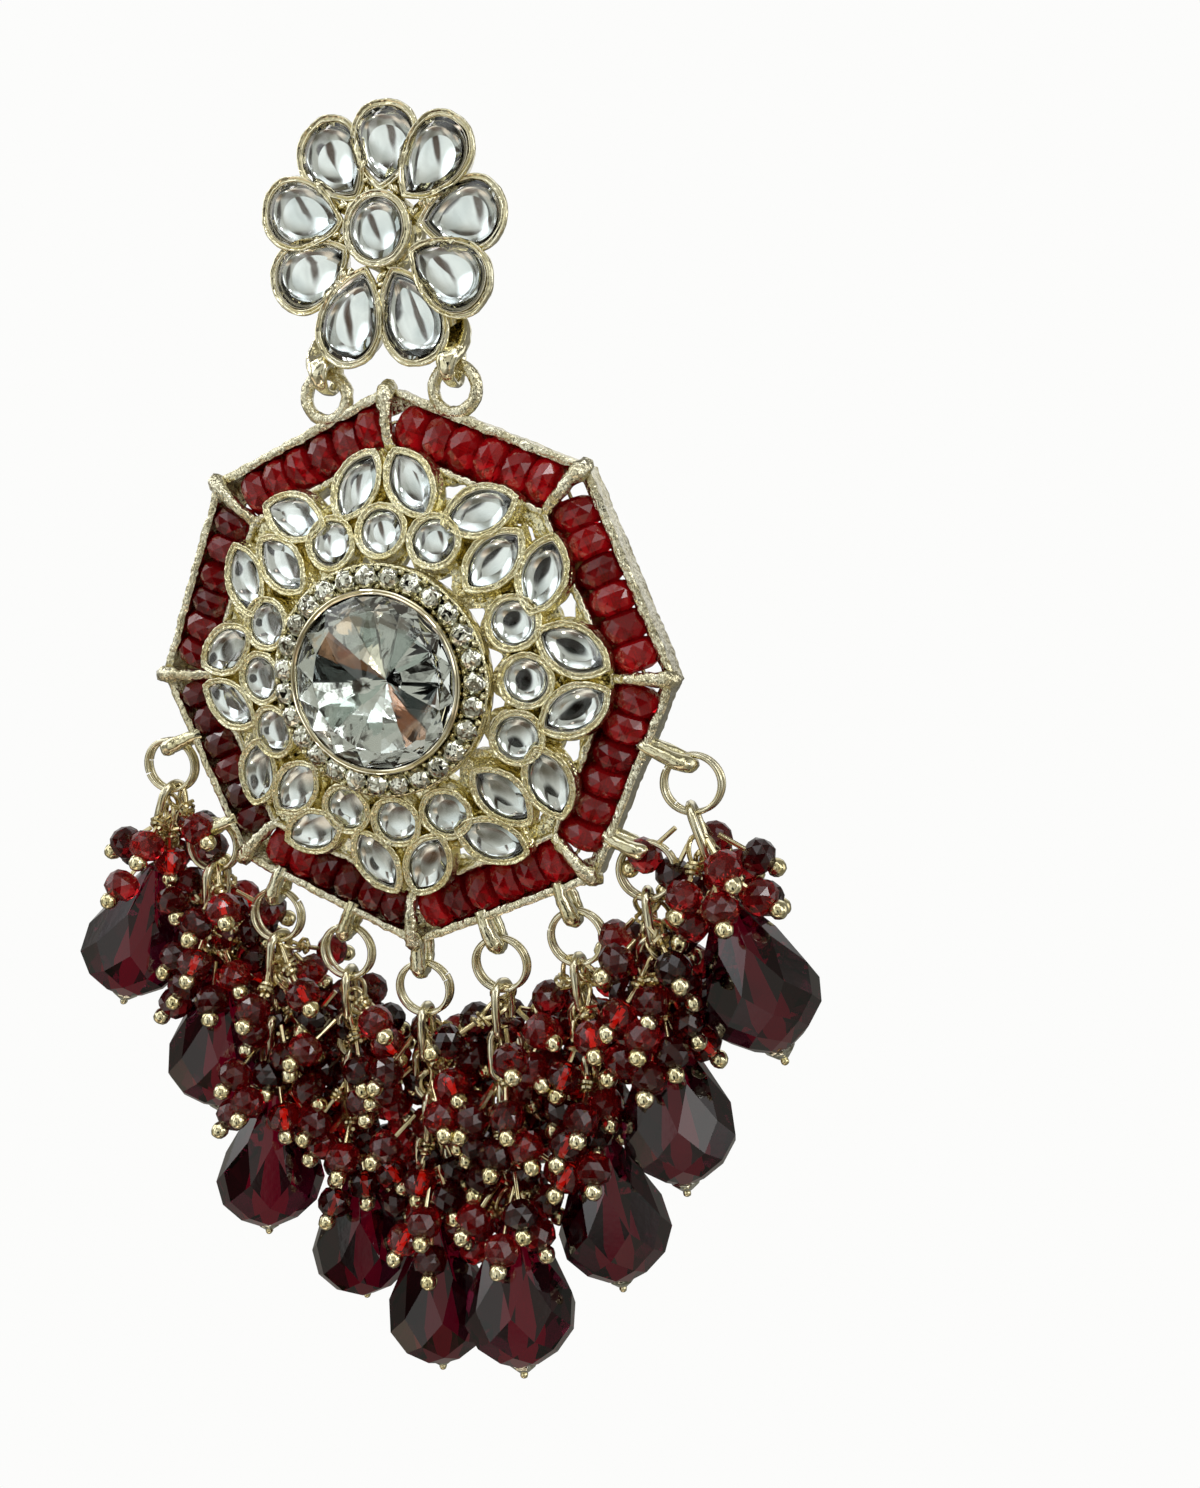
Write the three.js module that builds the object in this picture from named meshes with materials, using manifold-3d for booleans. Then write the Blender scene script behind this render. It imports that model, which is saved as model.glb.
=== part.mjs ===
// Chandbali earring: flower stud, octagonal jewelled pendant and nine beaded drops.
// Millimetres, +Z up, the front looks along -Y, +X to the right as seen from the front.
// The origin is the seat of the ear post, where the lobe lies against its pad.
import * as THREE from 'three';
import { mergeVertices } from 'three/addons/utils/BufferGeometryUtils.js';
import Module from 'manifold-3d';

const wasm = await Module();
wasm.setup();

// ---- driving dimensions ----
const FIT_GAP = 0.3;                 // clearance between separate pieces

const PAD_THICKNESS = 0.6;
const PAD_RADIUS = 2.6;
const POST_RADIUS = 0.45;
const POST_LENGTH = 11;
const POST_POINT = 0.5;

const STUD_BACK_Y = -(PAD_THICKNESS + FIT_GAP);
const STUD_DEPTH = 2.6;              // back plane to the top of the petal bezels
const PETAL_COUNT = 9;
const PETAL_ROUND_AT = 7.7;          // centre of a petal's round end, from the flower's centre
const PETAL_RADIUS = 2.72;
const PETAL_TIP_AT = 3.1;
const BEZEL_WALL = 0.62;
const POCKET_TIP_AT = PETAL_TIP_AT + 1.7 * BEZEL_WALL;
const POCKET_DEPTH = 1.5;
const CENTRE_CUP_RADIUS = 2.75;
const CENTRE_RAISE = 0.3;            // centre cup stands this much above the petals
const WEB_RADIUS = 3.7;              // back ring that carries the centre cup
const WEB_THICKNESS = 0.9;
const STONE_INSET = 0.12;            // share of a stone's size kept clear of its pocket
const STONE_SHOULDER = { rise: 0.65, scale: 0.72 };
const STONE_TABLE_SCALE = 0.36;
const GIRDLE_ABOVE_BEZEL = 0.1;
const STONE_CROWN = 1.15;            // how far a clear stone stands above its bezel

const PENDANT_Y = -2.6;              // front edge of the octagon rim
const PENDANT_Z = -35.6;             // octagon centre below the ear post
const SIDES = 8;
const SIDE_ANGLE = (2 * Math.PI) / SIDES;
const RIM_RADIUS = 23.5;             // outer corners of the octagon
const RIM_WALL = 0.9;
const RIM_DEPTH = 3.2;
const INNER_RIM_RADIUS = 18.7;
const INNER_RIM_FRONT = -0.3;
const INNER_RIM_BACK = 2.5;
const SPOKE_WIDTH = 1.3;
const SPOKE_FRONT = -0.9;
const SPOKE_BACK = 0.25;
const SPOKE_SINK = { inner: 0.9, outer: 0.4 };         // into each rim

const FIELD_INNER_RADIUS = 8.3;      // pierced plate that carries the small settings
const FIELD_OUTER_RADIUS = 14.0;
const FIELD_RISE = 0.2;              // forward rise of the plate for each mm towards the centre
const FIELD_THICKNESS = 0.9;
const FIELD_FRONT_AT_EDGE = 0.25;    // front of the plate, carried on to the inner rim
const FIELD_TILT = Math.atan(FIELD_RISE);
const SETTING_HEIGHT = 1.35;         // small settings above the plate
const ROUND_SETTING = { radius: 2.15, ring: 11.7 };
const MARQUISE_SETTING = { length: 6.3, width: 3.9 };
const CORNER_PAIR = { ring: 15.55, spread: 8.6, turn: 37 };
const FAN_CENTRE = { ring: 13.1 };
const FAN_SIDES = { ring: 15.4, spread: 13.2, turn: 40 };

const CRYSTAL_RADIUS = 6.5;
const CRYSTAL_GIRDLE_Y = -4.75;
const CRYSTAL_FRONT_Y = -6.6;
const CRYSTAL_BACK_Y = -1.75;
const CRYSTAL_EDGE = 0.4;
const CRYSTAL_FOLD = 16;
const BEZEL_OUTER_RADIUS = 7.25;
const BEZEL_TOP_Y = -5.2;
const PAVE_RADIUS = 9.3;
const PAVE_FRONT_Y = -3.3;
const PAVE_BACK_Y = -2.35;

const ROW_BEADS = 6;
const ROW_PITCH = 2.38;
const ROW_BEAD_RADIUS = 1.35;
const ROW_WAIST_RADIUS = 0.8;        // where two beads of a row meet
const ROW_THREAD_END = 0.25;
const ROW_AT = 19.05;                // distance of a bead row from the octagon's centre
const ROW_Y = 1.8;
const THREAD_RADIUS = 0.3;

const EYE = { straight: 1.6, halfWidth: 1.6, holeHalfWidth: 0.82, holeStart: 0.3, thickness: 1.1 };
const EYE_Y = 1.6;
const JUMP_RING = { radius: 1.98, wire: 0.375, lift: 0.25 };
const LINK = { radius: 1.2, wire: 0.33, stretch: 1.15 };
const LINK_BITE = 0.08;              // how far two links of one strand sink together
const SMALL_BEAD = { radius: 1.35, reach: 2.3, halfLength: 1.1, pin: 0.22, droops: [38, 55, 46] };
const FIRST_BEAD_Z = -1.6;           // below the low point of the jump ring
const LAST_BEAD_ABOVE_DROP = 4.2;
const GOLDEN_ANGLE = 137.5;

const HINGE = { x: 5.7, z: 24.75, y: 0.5 };            // in the pendant's frame
const LOOP = { radius: 1.85, wire: 0.55 };
const LUG = { halfDepth: 1.75, width: 1.2, holeHalfDepth: 0.92, bar: 1.0, chamfer: 0.7,
  top: 29.6, curveRoom: 0.15 };

// A row for each drop from the middle outwards: which rim corner and how far along the side
// (0 to 1) its eye stands, links in its chain, small beads and the turn of the first one about the
// chain, lean to the side, how far the drop stands forward, and the pin from chain to drop.
const STAGGER_OVER = 30;             // hanging length that the stagger is reached over
const STRANDS = [
  { corner: 6, along: 0.0, links: 4, beads: 12, turn: 15, lean: 0.0, stagger: 0.0, tail: 4.2 },
  { corner: 6, along: 0.38, links: 4, beads: 12, turn: 60, lean: 3.5, stagger: 3.0, tail: 3.8 },
  { corner: 6, along: 0.8, links: 3, beads: 10, turn: 140, lean: 6.5, stagger: 0.0, tail: 3.0 },
  { corner: 7, along: 0.2, links: 2, beads: 7, turn: 120, lean: 7.0, stagger: 0.6, tail: 3.0 },
  { corner: 7, along: 0.66, links: 1, beads: 5, turn: 306, lean: 20.0, stagger: 0.0, tail: 2.8 },
];

const DROP = { radius: 4.8, height: 12.4, sides: 9 };
const DROP_TIP = { radius: 1.15, neck: 0.5, height: 1.4, ball: 0.65 };
// A drop's outline from its top: share of the radius, share of the height.
const DROP_OUTLINE = [
  [0, 0],
  [0.15, 0],
  [0.4, 0.18],
  [0.82, 0.4],
  [1, 0.61],
  [0.86, 0.82],
  [0.5, 0.96],
];

// ---- materials ----
const paleGold = { color: 0xcfc79a, roughness: 0.3, metalness: 1 };
const clearStone = { color: 0xe8eeee, roughness: 0.05, metalness: 0 };
const redBead = { color: 0x8c0d18, roughness: 0.1, metalness: 0 };
const garnet = { color: 0x4a0612, roughness: 0.08, metalness: 0 };

// ---- helpers ----
const radians = THREE.MathUtils.degToRad;

function toSolid(geometry) {
  const bare = geometry.index ? geometry.toNonIndexed() : geometry.clone();
  bare.deleteAttribute('normal');
  bare.deleteAttribute('uv');
  const merged = mergeVertices(bare, 1e-4);
  const kept = [];
  const corners = merged.index.array;
  for (let i = 0; i < corners.length; i += 3) {
    const [a, b, c] = corners.slice(i, i + 3);
    if (a !== b && b !== c && c !== a) kept.push(a, b, c);
  }
  const mesh = new wasm.Mesh({
    numProp: 3,
    vertProperties: new Float32Array(merged.attributes.position.array),
    triVerts: new Uint32Array(kept),
  });
  return new wasm.Manifold(mesh);
}

function toGeometry(solid) {
  const mesh = solid.getMesh();
  const geometry = new THREE.BufferGeometry();
  geometry.setAttribute('position', new THREE.BufferAttribute(mesh.vertProperties, 3));
  geometry.setIndex(new THREE.BufferAttribute(mesh.triVerts, 1));
  geometry.computeVertexNormals();
  return geometry;
}

function join(geometries) {
  let solid = toSolid(geometries[0]);
  for (const geometry of geometries.slice(1)) solid = solid.add(toSolid(geometry));
  return solid;
}

// Extrudes an outline drawn in the XZ plane from backY forward to frontY.
function plateFrom(shape, backY, frontY, curveSegments = 8) {
  const geometry = new THREE.ExtrudeGeometry(shape, {
    depth: backY - frontY,
    bevelEnabled: false,
    curveSegments,
  });
  geometry.rotateX(Math.PI / 2);
  geometry.translate(0, backY, 0);
  return geometry;
}

// A round body turned about the Y axis; profile rows are [radius, y], the outside from front to back.
function turned(profile, segments) {
  const points = profile.map(([radius, y]) => new THREE.Vector2(radius, y));
  return new THREE.LatheGeometry(points, segments);
}

function circleShape(radius) {
  const shape = new THREE.Shape();
  shape.absarc(0, 0, radius, 0, 2 * Math.PI);
  return shape;
}

// Teardrop with its point towards the centre of the flower and its round end outside.
function pearShape(roundAt, radius, tipAt) {
  const open = Math.acos(radius / (roundAt - tipAt));
  const shape = new THREE.Shape();
  shape.moveTo(tipAt, 0);
  shape.lineTo(roundAt - radius * Math.cos(open), -radius * Math.sin(open));
  shape.absarc(roundAt, 0, radius, open - Math.PI, Math.PI - open);
  shape.closePath();
  return shape;
}

// Two arcs meeting in a point at each end.
function marquiseShape(length, width) {
  const arcRadius = (length * length + width * width) / (4 * width);
  const half = Math.asin(length / 2 / arcRadius);
  const drop = arcRadius - width / 2;
  const shape = new THREE.Shape();
  shape.absarc(0, drop, arcRadius, -Math.PI / 2 - half, -Math.PI / 2 + half);
  shape.absarc(0, -drop, arcRadius, Math.PI / 2 - half, Math.PI / 2 + half);
  shape.closePath();
  return shape;
}

function octagonShape(radius) {
  const shape = new THREE.Shape();
  for (let i = 0; i < SIDES; i += 1) {
    const angle = i * SIDE_ANGLE;
    const x = radius * Math.cos(angle);
    const z = radius * Math.sin(angle);
    if (i === 0) shape.moveTo(x, z);
    else shape.lineTo(x, z);
  }
  shape.closePath();
  return shape;
}

// Turns a geometry about the Y axis, anticlockwise as seen from the front.
function swingTo(geometry, angle) {
  geometry.rotateY(-angle);
  return geometry;
}

// ---- flower stud ----
function petalAngle(index) {
  return Math.PI / 2 - (index * 2 * Math.PI) / PETAL_COUNT;
}

function domedStone(shape, inset, crown) {
  const seat = STUD_BACK_Y - STUD_DEPTH + POCKET_DEPTH - FIT_GAP;
  const girdle = STUD_BACK_Y - STUD_DEPTH - GIRDLE_ABOVE_BEZEL;
  const outline = shape.getPoints(4);
  const middle = new THREE.Vector2();
  outline.forEach((point) => middle.add(point));
  middle.divideScalar(outline.length);
  const levels = [
    { y: seat, scale: 1 - inset },
    { y: girdle, scale: 1 - inset },
    { y: girdle - crown * STONE_SHOULDER.rise, scale: STONE_SHOULDER.scale - inset },
    { y: girdle - crown, scale: STONE_TABLE_SCALE - inset / 2 },
  ];
  const slices = levels.map(({ y, scale }) => {
    const scaled = outline.map((point) => middle.clone().lerp(point, scale));
    return { y, scaled };
  });
  const bodies = slices.slice(1).map((top, i) => frustum(slices[i], top));
  return bodies;
}

// Closed slab between two outlines with the same number of points.
function frustum(low, high) {
  const slab = plateFrom(new THREE.Shape(low.scaled), low.y, high.y);
  const position = slab.attributes.position;
  for (let i = 0; i < position.count; i += 1) {
    if (Math.abs(position.getY(i) - high.y) > 1e-6) continue;
    const x = position.getX(i);
    const z = position.getZ(i);
    const match = low.scaled.findIndex((p) => Math.hypot(p.x - x, p.y - z) < 1e-4);
    position.setX(i, high.scaled[match].x);
    position.setZ(i, high.scaled[match].y);
  }
  return slab;
}

function studFrame() {
  const top = STUD_BACK_Y - STUD_DEPTH;
  const pocketFloor = top + POCKET_DEPTH;
  const outer = pearShape(PETAL_ROUND_AT, PETAL_RADIUS, PETAL_TIP_AT);
  const pocket = pearShape(PETAL_ROUND_AT, PETAL_RADIUS - BEZEL_WALL, POCKET_TIP_AT);
  let frame = toSolid(plateFrom(circleShape(CENTRE_CUP_RADIUS), STUD_BACK_Y, top - CENTRE_RAISE, 7));
  const web = circleShape(WEB_RADIUS);
  frame = frame.add(toSolid(plateFrom(web, STUD_BACK_Y, STUD_BACK_Y - WEB_THICKNESS, 7)));
  for (let i = 0; i < PETAL_COUNT; i += 1) {
    frame = frame.add(toSolid(swingTo(plateFrom(outer, STUD_BACK_Y, top, 5), petalAngle(i))));
  }
  for (const side of [-1, 1]) {
    frame = frame.add(toSolid(lug(side)));
  }
  for (let i = 0; i < PETAL_COUNT; i += 1) {
    frame = frame.subtract(toSolid(swingTo(plateFrom(pocket, pocketFloor, top - 1, 4), petalAngle(i))));
  }
  const centrePocket = circleShape(CENTRE_CUP_RADIUS - BEZEL_WALL);
  frame = frame.subtract(toSolid(plateFrom(centrePocket, pocketFloor - CENTRE_RAISE, top - 2, 5)));
  return toGeometry(frame);
}

// Cast finger under the flower, its eye open from side to side for the pendant's loop.
function lug(side) {
  const y = PENDANT_Y + HINGE.y;
  const holeLow = HINGE.z - LOOP.wire - FIT_GAP - LUG.curveRoom;
  const low = holeLow - LUG.bar;
  const holeHigh = HINGE.z + LOOP.wire + FIT_GAP;
  const outline = new THREE.Shape();
  outline.moveTo(-LUG.halfDepth, LUG.top);
  outline.lineTo(-LUG.halfDepth, low + LUG.chamfer);
  outline.lineTo(-LUG.halfDepth + LUG.chamfer, low);
  outline.lineTo(LUG.halfDepth - LUG.chamfer, low);
  outline.lineTo(LUG.halfDepth, low + LUG.chamfer);
  outline.lineTo(LUG.halfDepth, LUG.top);
  outline.closePath();
  const hole = new THREE.Path();
  hole.moveTo(-LUG.holeHalfDepth, holeLow);
  hole.lineTo(LUG.holeHalfDepth, holeLow);
  hole.lineTo(LUG.holeHalfDepth, holeHigh);
  hole.lineTo(-LUG.holeHalfDepth, holeHigh);
  hole.closePath();
  outline.holes.push(hole);
  const geometry = new THREE.ExtrudeGeometry(outline, { depth: LUG.width, bevelEnabled: false });
  geometry.translate(0, 0, -LUG.width / 2);
  geometry.rotateX(Math.PI / 2);
  geometry.rotateZ(Math.PI / 2);
  geometry.translate(side * HINGE.x, y, PENDANT_Z);
  return geometry;
}

function earPost() {
  const profile = [
    [0, -PAD_THICKNESS],
    [PAD_RADIUS, -PAD_THICKNESS],
    [PAD_RADIUS, 0],
    [POST_RADIUS, 0],
    [POST_RADIUS, POST_LENGTH - POST_POINT],
    [POST_RADIUS * 0.5, POST_LENGTH],
    [0, POST_LENGTH],
  ];
  return turned(profile, 12);
}

// ---- pendant frame ----
function rim(radius, wall, frontY, backY) {
  const shape = octagonShape(radius);
  shape.holes.push(octagonShape(radius - wall / Math.cos(SIDE_ANGLE / 2)));
  return plateFrom(shape, backY, frontY);
}

function plateFrontAt(radius) {
  return FIELD_FRONT_AT_EDGE - FIELD_RISE * (INNER_RIM_RADIUS - radius);
}

function fieldPlate() {
  const inner = plateFrontAt(FIELD_INNER_RADIUS);
  const outer = plateFrontAt(FIELD_OUTER_RADIUS);
  const profile = [
    [FIELD_INNER_RADIUS, inner],
    [FIELD_OUTER_RADIUS, outer],
    [FIELD_OUTER_RADIUS, outer + FIELD_THICKNESS],
    [FIELD_INNER_RADIUS, inner + FIELD_THICKNESS],
    [FIELD_INNER_RADIUS, inner],
  ];
  return turned(profile, 24);
}

// Stands a setting on the domed plate, its long axis turned from the radial line.
function onField(shape, { ring, turn = 0 }, angle, curveSegments = 2) {
  const geometry = plateFrom(shape, FIELD_THICKNESS, -SETTING_HEIGHT, curveSegments);
  swingTo(geometry, radians(turn));
  geometry.rotateZ(FIELD_TILT);
  geometry.translate(ring, plateFrontAt(ring), 0);
  return swingTo(geometry, angle);
}

function fieldSettings() {
  const pieces = [];
  const round = circleShape(ROUND_SETTING.radius);
  const marquise = marquiseShape(MARQUISE_SETTING.length, MARQUISE_SETTING.width);
  for (let quarter = 0; quarter < 4; quarter += 1) {
    const corner = (quarter * Math.PI) / 2;
    const diagonal = corner + SIDE_ANGLE;
    for (const step of [-0.5, 0, 0.5]) {
      pieces.push(onField(round, ROUND_SETTING, corner + step * SIDE_ANGLE, 4));
    }
    pieces.push(onField(marquise, FAN_CENTRE, diagonal));
    for (const side of [-1, 1]) {
      const pair = { ring: CORNER_PAIR.ring, turn: -side * CORNER_PAIR.turn };
      const fan = { ring: FAN_SIDES.ring, turn: -side * FAN_SIDES.turn };
      pieces.push(onField(marquise, pair, corner + side * radians(CORNER_PAIR.spread)));
      pieces.push(onField(marquise, fan, diagonal + side * radians(FAN_SIDES.spread)));
    }
  }
  return pieces;
}

function spoke(angle) {
  const start = INNER_RIM_RADIUS - SPOKE_SINK.inner;
  const end = RIM_RADIUS - SPOKE_SINK.outer;
  const geometry = new THREE.BoxGeometry(end - start, SPOKE_BACK - SPOKE_FRONT, SPOKE_WIDTH);
  geometry.translate((start + end) / 2, (SPOKE_FRONT + SPOKE_BACK) / 2, 0);
  return swingTo(geometry, angle);
}

// Where a drop's eye stands on the rim, and which way it points.
function eyeRoot(strand, side) {
  const from = strand.corner * SIDE_ANGLE;
  const a = new THREE.Vector2(Math.cos(from), Math.sin(from)).multiplyScalar(RIM_RADIUS);
  const next = from + SIDE_ANGLE;
  const b = new THREE.Vector2(Math.cos(next), Math.sin(next)).multiplyScalar(RIM_RADIUS);
  const root = a.lerp(b, strand.along);
  const outward = strand.along === 0 ? from : from + SIDE_ANGLE / 2;
  return { x: side * root.x, z: root.y, angle: side > 0 ? outward : Math.PI - outward };
}

function dropEye(root) {
  const { straight, halfWidth, holeHalfWidth, holeStart, thickness } = EYE;
  const outline = new THREE.Shape();
  outline.moveTo(-holeStart, -halfWidth);
  outline.lineTo(straight, -halfWidth);
  outline.absarc(straight, 0, halfWidth, -Math.PI / 2, Math.PI / 2);
  outline.lineTo(-holeStart, halfWidth);
  outline.closePath();
  const hole = new THREE.Path();
  hole.moveTo(holeStart, -holeHalfWidth);
  hole.lineTo(straight, -holeHalfWidth);
  hole.absarc(straight, 0, holeHalfWidth, -Math.PI / 2, Math.PI / 2);
  hole.lineTo(holeStart, holeHalfWidth);
  hole.closePath();
  outline.holes.push(hole);
  const geometry = new THREE.ExtrudeGeometry(outline, {
    depth: thickness,
    bevelEnabled: false,
    curveSegments: 3,
  });
  geometry.translate(0, EYE_Y, -thickness / 2);
  swingTo(geometry, root.angle);
  geometry.translate(root.x, 0, root.z);
  return geometry;
}

function topLoop(side) {
  const geometry = new THREE.TorusGeometry(LOOP.radius, LOOP.wire, 6, 14);
  geometry.rotateX(Math.PI / 2);
  geometry.translate(side * HINGE.x, HINGE.y, HINGE.z - LOOP.radius);
  return geometry;
}

function pendantFrame(strands) {
  const pieces = [
    rim(RIM_RADIUS, RIM_WALL, 0, RIM_DEPTH),
    rim(INNER_RIM_RADIUS, RIM_WALL, INNER_RIM_FRONT, INNER_RIM_BACK),
    fieldPlate(),
    ...fieldSettings(),
    topLoop(-1),
    topLoop(1),
  ];
  for (let i = 0; i < SIDES; i += 1) pieces.push(spoke(i * SIDE_ANGLE));
  for (const { root } of strands) pieces.push(dropEye(root));
  return toGeometry(join(pieces));
}

// ---- crystal and its setting ----
function crystalSetting() {
  const seatRadius = CRYSTAL_RADIUS + CRYSTAL_EDGE * 0.6;
  const profile = [
    [0, CRYSTAL_BACK_Y + 1.2],
    [0, CRYSTAL_BACK_Y + 0.5],
    [seatRadius, CRYSTAL_GIRDLE_Y + 0.75],
    [seatRadius, BEZEL_TOP_Y],
    [BEZEL_OUTER_RADIUS, BEZEL_TOP_Y],
    [BEZEL_OUTER_RADIUS, PAVE_FRONT_Y],
    [PAVE_RADIUS, PAVE_FRONT_Y],
    [PAVE_RADIUS, PAVE_BACK_Y],
    [FIELD_INNER_RADIUS - FIT_GAP, PAVE_BACK_Y],
    [FIELD_INNER_RADIUS - FIT_GAP, PAVE_BACK_Y + 0.8],
    [5, CRYSTAL_BACK_Y + 1.2],
    [0, CRYSTAL_BACK_Y + 1.2],
  ];
  return turned(profile, 24);
}

function centreCrystal() {
  const profile = [
    [0, CRYSTAL_FRONT_Y],
    [CRYSTAL_RADIUS, CRYSTAL_GIRDLE_Y - CRYSTAL_EDGE / 2],
    [CRYSTAL_RADIUS, CRYSTAL_GIRDLE_Y + CRYSTAL_EDGE / 2],
    [0, CRYSTAL_BACK_Y],
  ];
  return turned(profile, CRYSTAL_FOLD);
}

// ---- bead rows in the rim channels ----
function beadRow(index) {
  const half = (ROW_BEADS * ROW_PITCH) / 2;
  const points = [new THREE.Vector2(0, -half - ROW_THREAD_END)];
  points.push(new THREE.Vector2(THREAD_RADIUS, -half - ROW_THREAD_END));
  points.push(new THREE.Vector2(THREAD_RADIUS, -half));
  for (let i = 0; i < ROW_BEADS; i += 1) {
    const start = i * ROW_PITCH - half;
    if (i > 0) points.push(new THREE.Vector2(ROW_WAIST_RADIUS, start));
    points.push(new THREE.Vector2(ROW_BEAD_RADIUS, start + ROW_PITCH / 2));
  }
  points.push(new THREE.Vector2(THREAD_RADIUS, half));
  points.push(new THREE.Vector2(THREAD_RADIUS, half + ROW_THREAD_END));
  points.push(new THREE.Vector2(0, half + ROW_THREAD_END));
  const row = new THREE.LatheGeometry(points, 7);
  row.rotateX(Math.PI / 2);
  row.translate(ROW_AT, ROW_Y, 0);
  return swingTo(row, (index + 0.5) * SIDE_ANGLE);
}

// ---- hanging strands ----
// A strand is built hanging down its own -Z axis from the low point of its jump ring,
// then leaned out to the side and forward.
function chainPitch() {
  return 2 * (LINK.radius + LINK.stretch) - 2 * LINK.wire + LINK_BITE;
}

function linkTop() {
  return JUMP_RING.wire + FIT_GAP + LINK.wire;
}

function chainLink(index) {
  const geometry = new THREE.TorusGeometry(LINK.radius, LINK.wire, 4, 8);
  geometry.rotateZ(Math.PI / 8);
  const position = geometry.attributes.position;
  for (let i = 0; i < position.count; i += 1) {
    position.setY(i, position.getY(i) + Math.sign(position.getY(i)) * LINK.stretch);
  }
  geometry.rotateX(Math.PI / 2);
  if (index % 2 === 0) geometry.rotateZ(Math.PI / 2);
  const middle = linkTop() - LINK.radius - LINK.stretch - index * chainPitch();
  geometry.translate(0, 0, middle);
  return geometry;
}

function lastLinkLow(links) {
  return linkTop() - 2 * (LINK.radius + LINK.stretch) - (links - 1) * chainPitch();
}

function dropTop(strand) {
  return lastLinkLow(strand.links) - strand.tail;
}

function smallBead(strand, index) {
  const last = dropTop(strand) + LAST_BEAD_ABOVE_DROP;
  const at = FIRST_BEAD_Z + ((last - FIRST_BEAD_Z) * (index + 0.5)) / strand.beads;
  const { radius, reach, halfLength, pin, droops } = SMALL_BEAD;
  const droop = radians(droops[index % droops.length]);
  const profile = [
    [0, 0],
    [pin, reach - halfLength],
    [radius, reach],
    [0, reach + halfLength],
  ].map(([r, y]) => new THREE.Vector2(r, y));
  const geometry = new THREE.LatheGeometry(profile, 5);
  geometry.rotateZ(-Math.PI / 2 - droop);
  geometry.rotateX(Math.PI / 2);
  const turn = radians(strand.turn + index * GOLDEN_ANGLE);
  geometry.rotateZ(strand.side > 0 ? turn : Math.PI - turn);
  geometry.translate(0, 0, at);
  return geometry;
}

function beadCluster(strand) {
  const threadTop = -(JUMP_RING.wire + FIT_GAP);
  const threadLow = dropTop(strand) + FIT_GAP;
  const length = threadTop - threadLow;
  const thread = new THREE.CylinderGeometry(THREAD_RADIUS, THREAD_RADIUS, length, 4);
  thread.rotateX(Math.PI / 2);
  thread.translate(0, 0, (threadTop + threadLow) / 2);
  const pieces = [thread];
  for (let i = 0; i < strand.links; i += 1) pieces.push(chainLink(i));
  for (let i = 0; i < strand.beads; i += 1) pieces.push(smallBead(strand, i));
  return toGeometry(join(pieces));
}

function dropBead(strand) {
  const { radius, height, sides } = DROP;
  const outline = DROP_OUTLINE.map(([share, depth]) => [share * radius, -depth * height]);
  const tipZ = -height - DROP_TIP.height;
  outline.push([DROP_TIP.radius, -height]);
  outline.push([DROP_TIP.neck, tipZ]);
  outline.push([DROP_TIP.ball, tipZ - DROP_TIP.ball / 2]);
  outline.push([0, tipZ - DROP_TIP.ball * 1.7]);
  const points = outline.reverse().map(([r, z]) => new THREE.Vector2(r, z));
  const geometry = new THREE.LatheGeometry(points, sides);
  geometry.rotateX(Math.PI / 2);
  geometry.translate(0, 0, dropTop(strand));
  return geometry;
}

function jumpRing() {
  const geometry = new THREE.TorusGeometry(JUMP_RING.radius, JUMP_RING.wire, 5, 11);
  geometry.rotateX(Math.PI / 2);
  return geometry;
}

// ---- assembly ----
const earring = new THREE.Group();
const pendant = new THREE.Group();
pendant.position.set(0, PENDANT_Y, PENDANT_Z);
earring.add(pendant);

function addPiece(parent, name, geometry, finish) {
  const piece = new THREE.Mesh(geometry, new THREE.MeshStandardMaterial(finish));
  piece.name = name;
  parent.add(piece);
  return piece;
}

addPiece(earring, 'stud_frame', studFrame(), paleGold);
addPiece(earring, 'ear_post', earPost(), paleGold);
const petalStone = pearShape(PETAL_ROUND_AT, PETAL_RADIUS - BEZEL_WALL, POCKET_TIP_AT);
for (let i = 0; i < PETAL_COUNT; i += 1) {
  const stone = toGeometry(join(domedStone(petalStone, STONE_INSET, STONE_CROWN)));
  addPiece(earring, `petal_stone_${i + 1}`, swingTo(stone, petalAngle(i)), clearStone);
}
const roundStone = domedStone(circleShape(CENTRE_CUP_RADIUS - BEZEL_WALL), STONE_INSET, STONE_CROWN);
const centreStone = toGeometry(join(roundStone));
centreStone.translate(0, -CENTRE_RAISE, 0);
addPiece(earring, 'centre_stone', centreStone, clearStone);

// Strands run across the fringe from left to right as seen from the front, 1 to 9.
const strands = [];
for (let i = 1 - STRANDS.length; i < STRANDS.length; i += 1) {
  const strand = STRANDS[Math.abs(i)];
  const side = i < 0 ? -1 : 1;
  strands.push({ ...strand, side, root: eyeRoot(strand, side) });
}

addPiece(pendant, 'pendant_frame', pendantFrame(strands), paleGold);
addPiece(pendant, 'crystal_setting', crystalSetting(), paleGold);
addPiece(pendant, 'centre_crystal', centreCrystal(), clearStone);
for (let i = 0; i < SIDES; i += 1) addPiece(pendant, `bead_row_${i + 1}`, beadRow(i), redBead);

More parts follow.
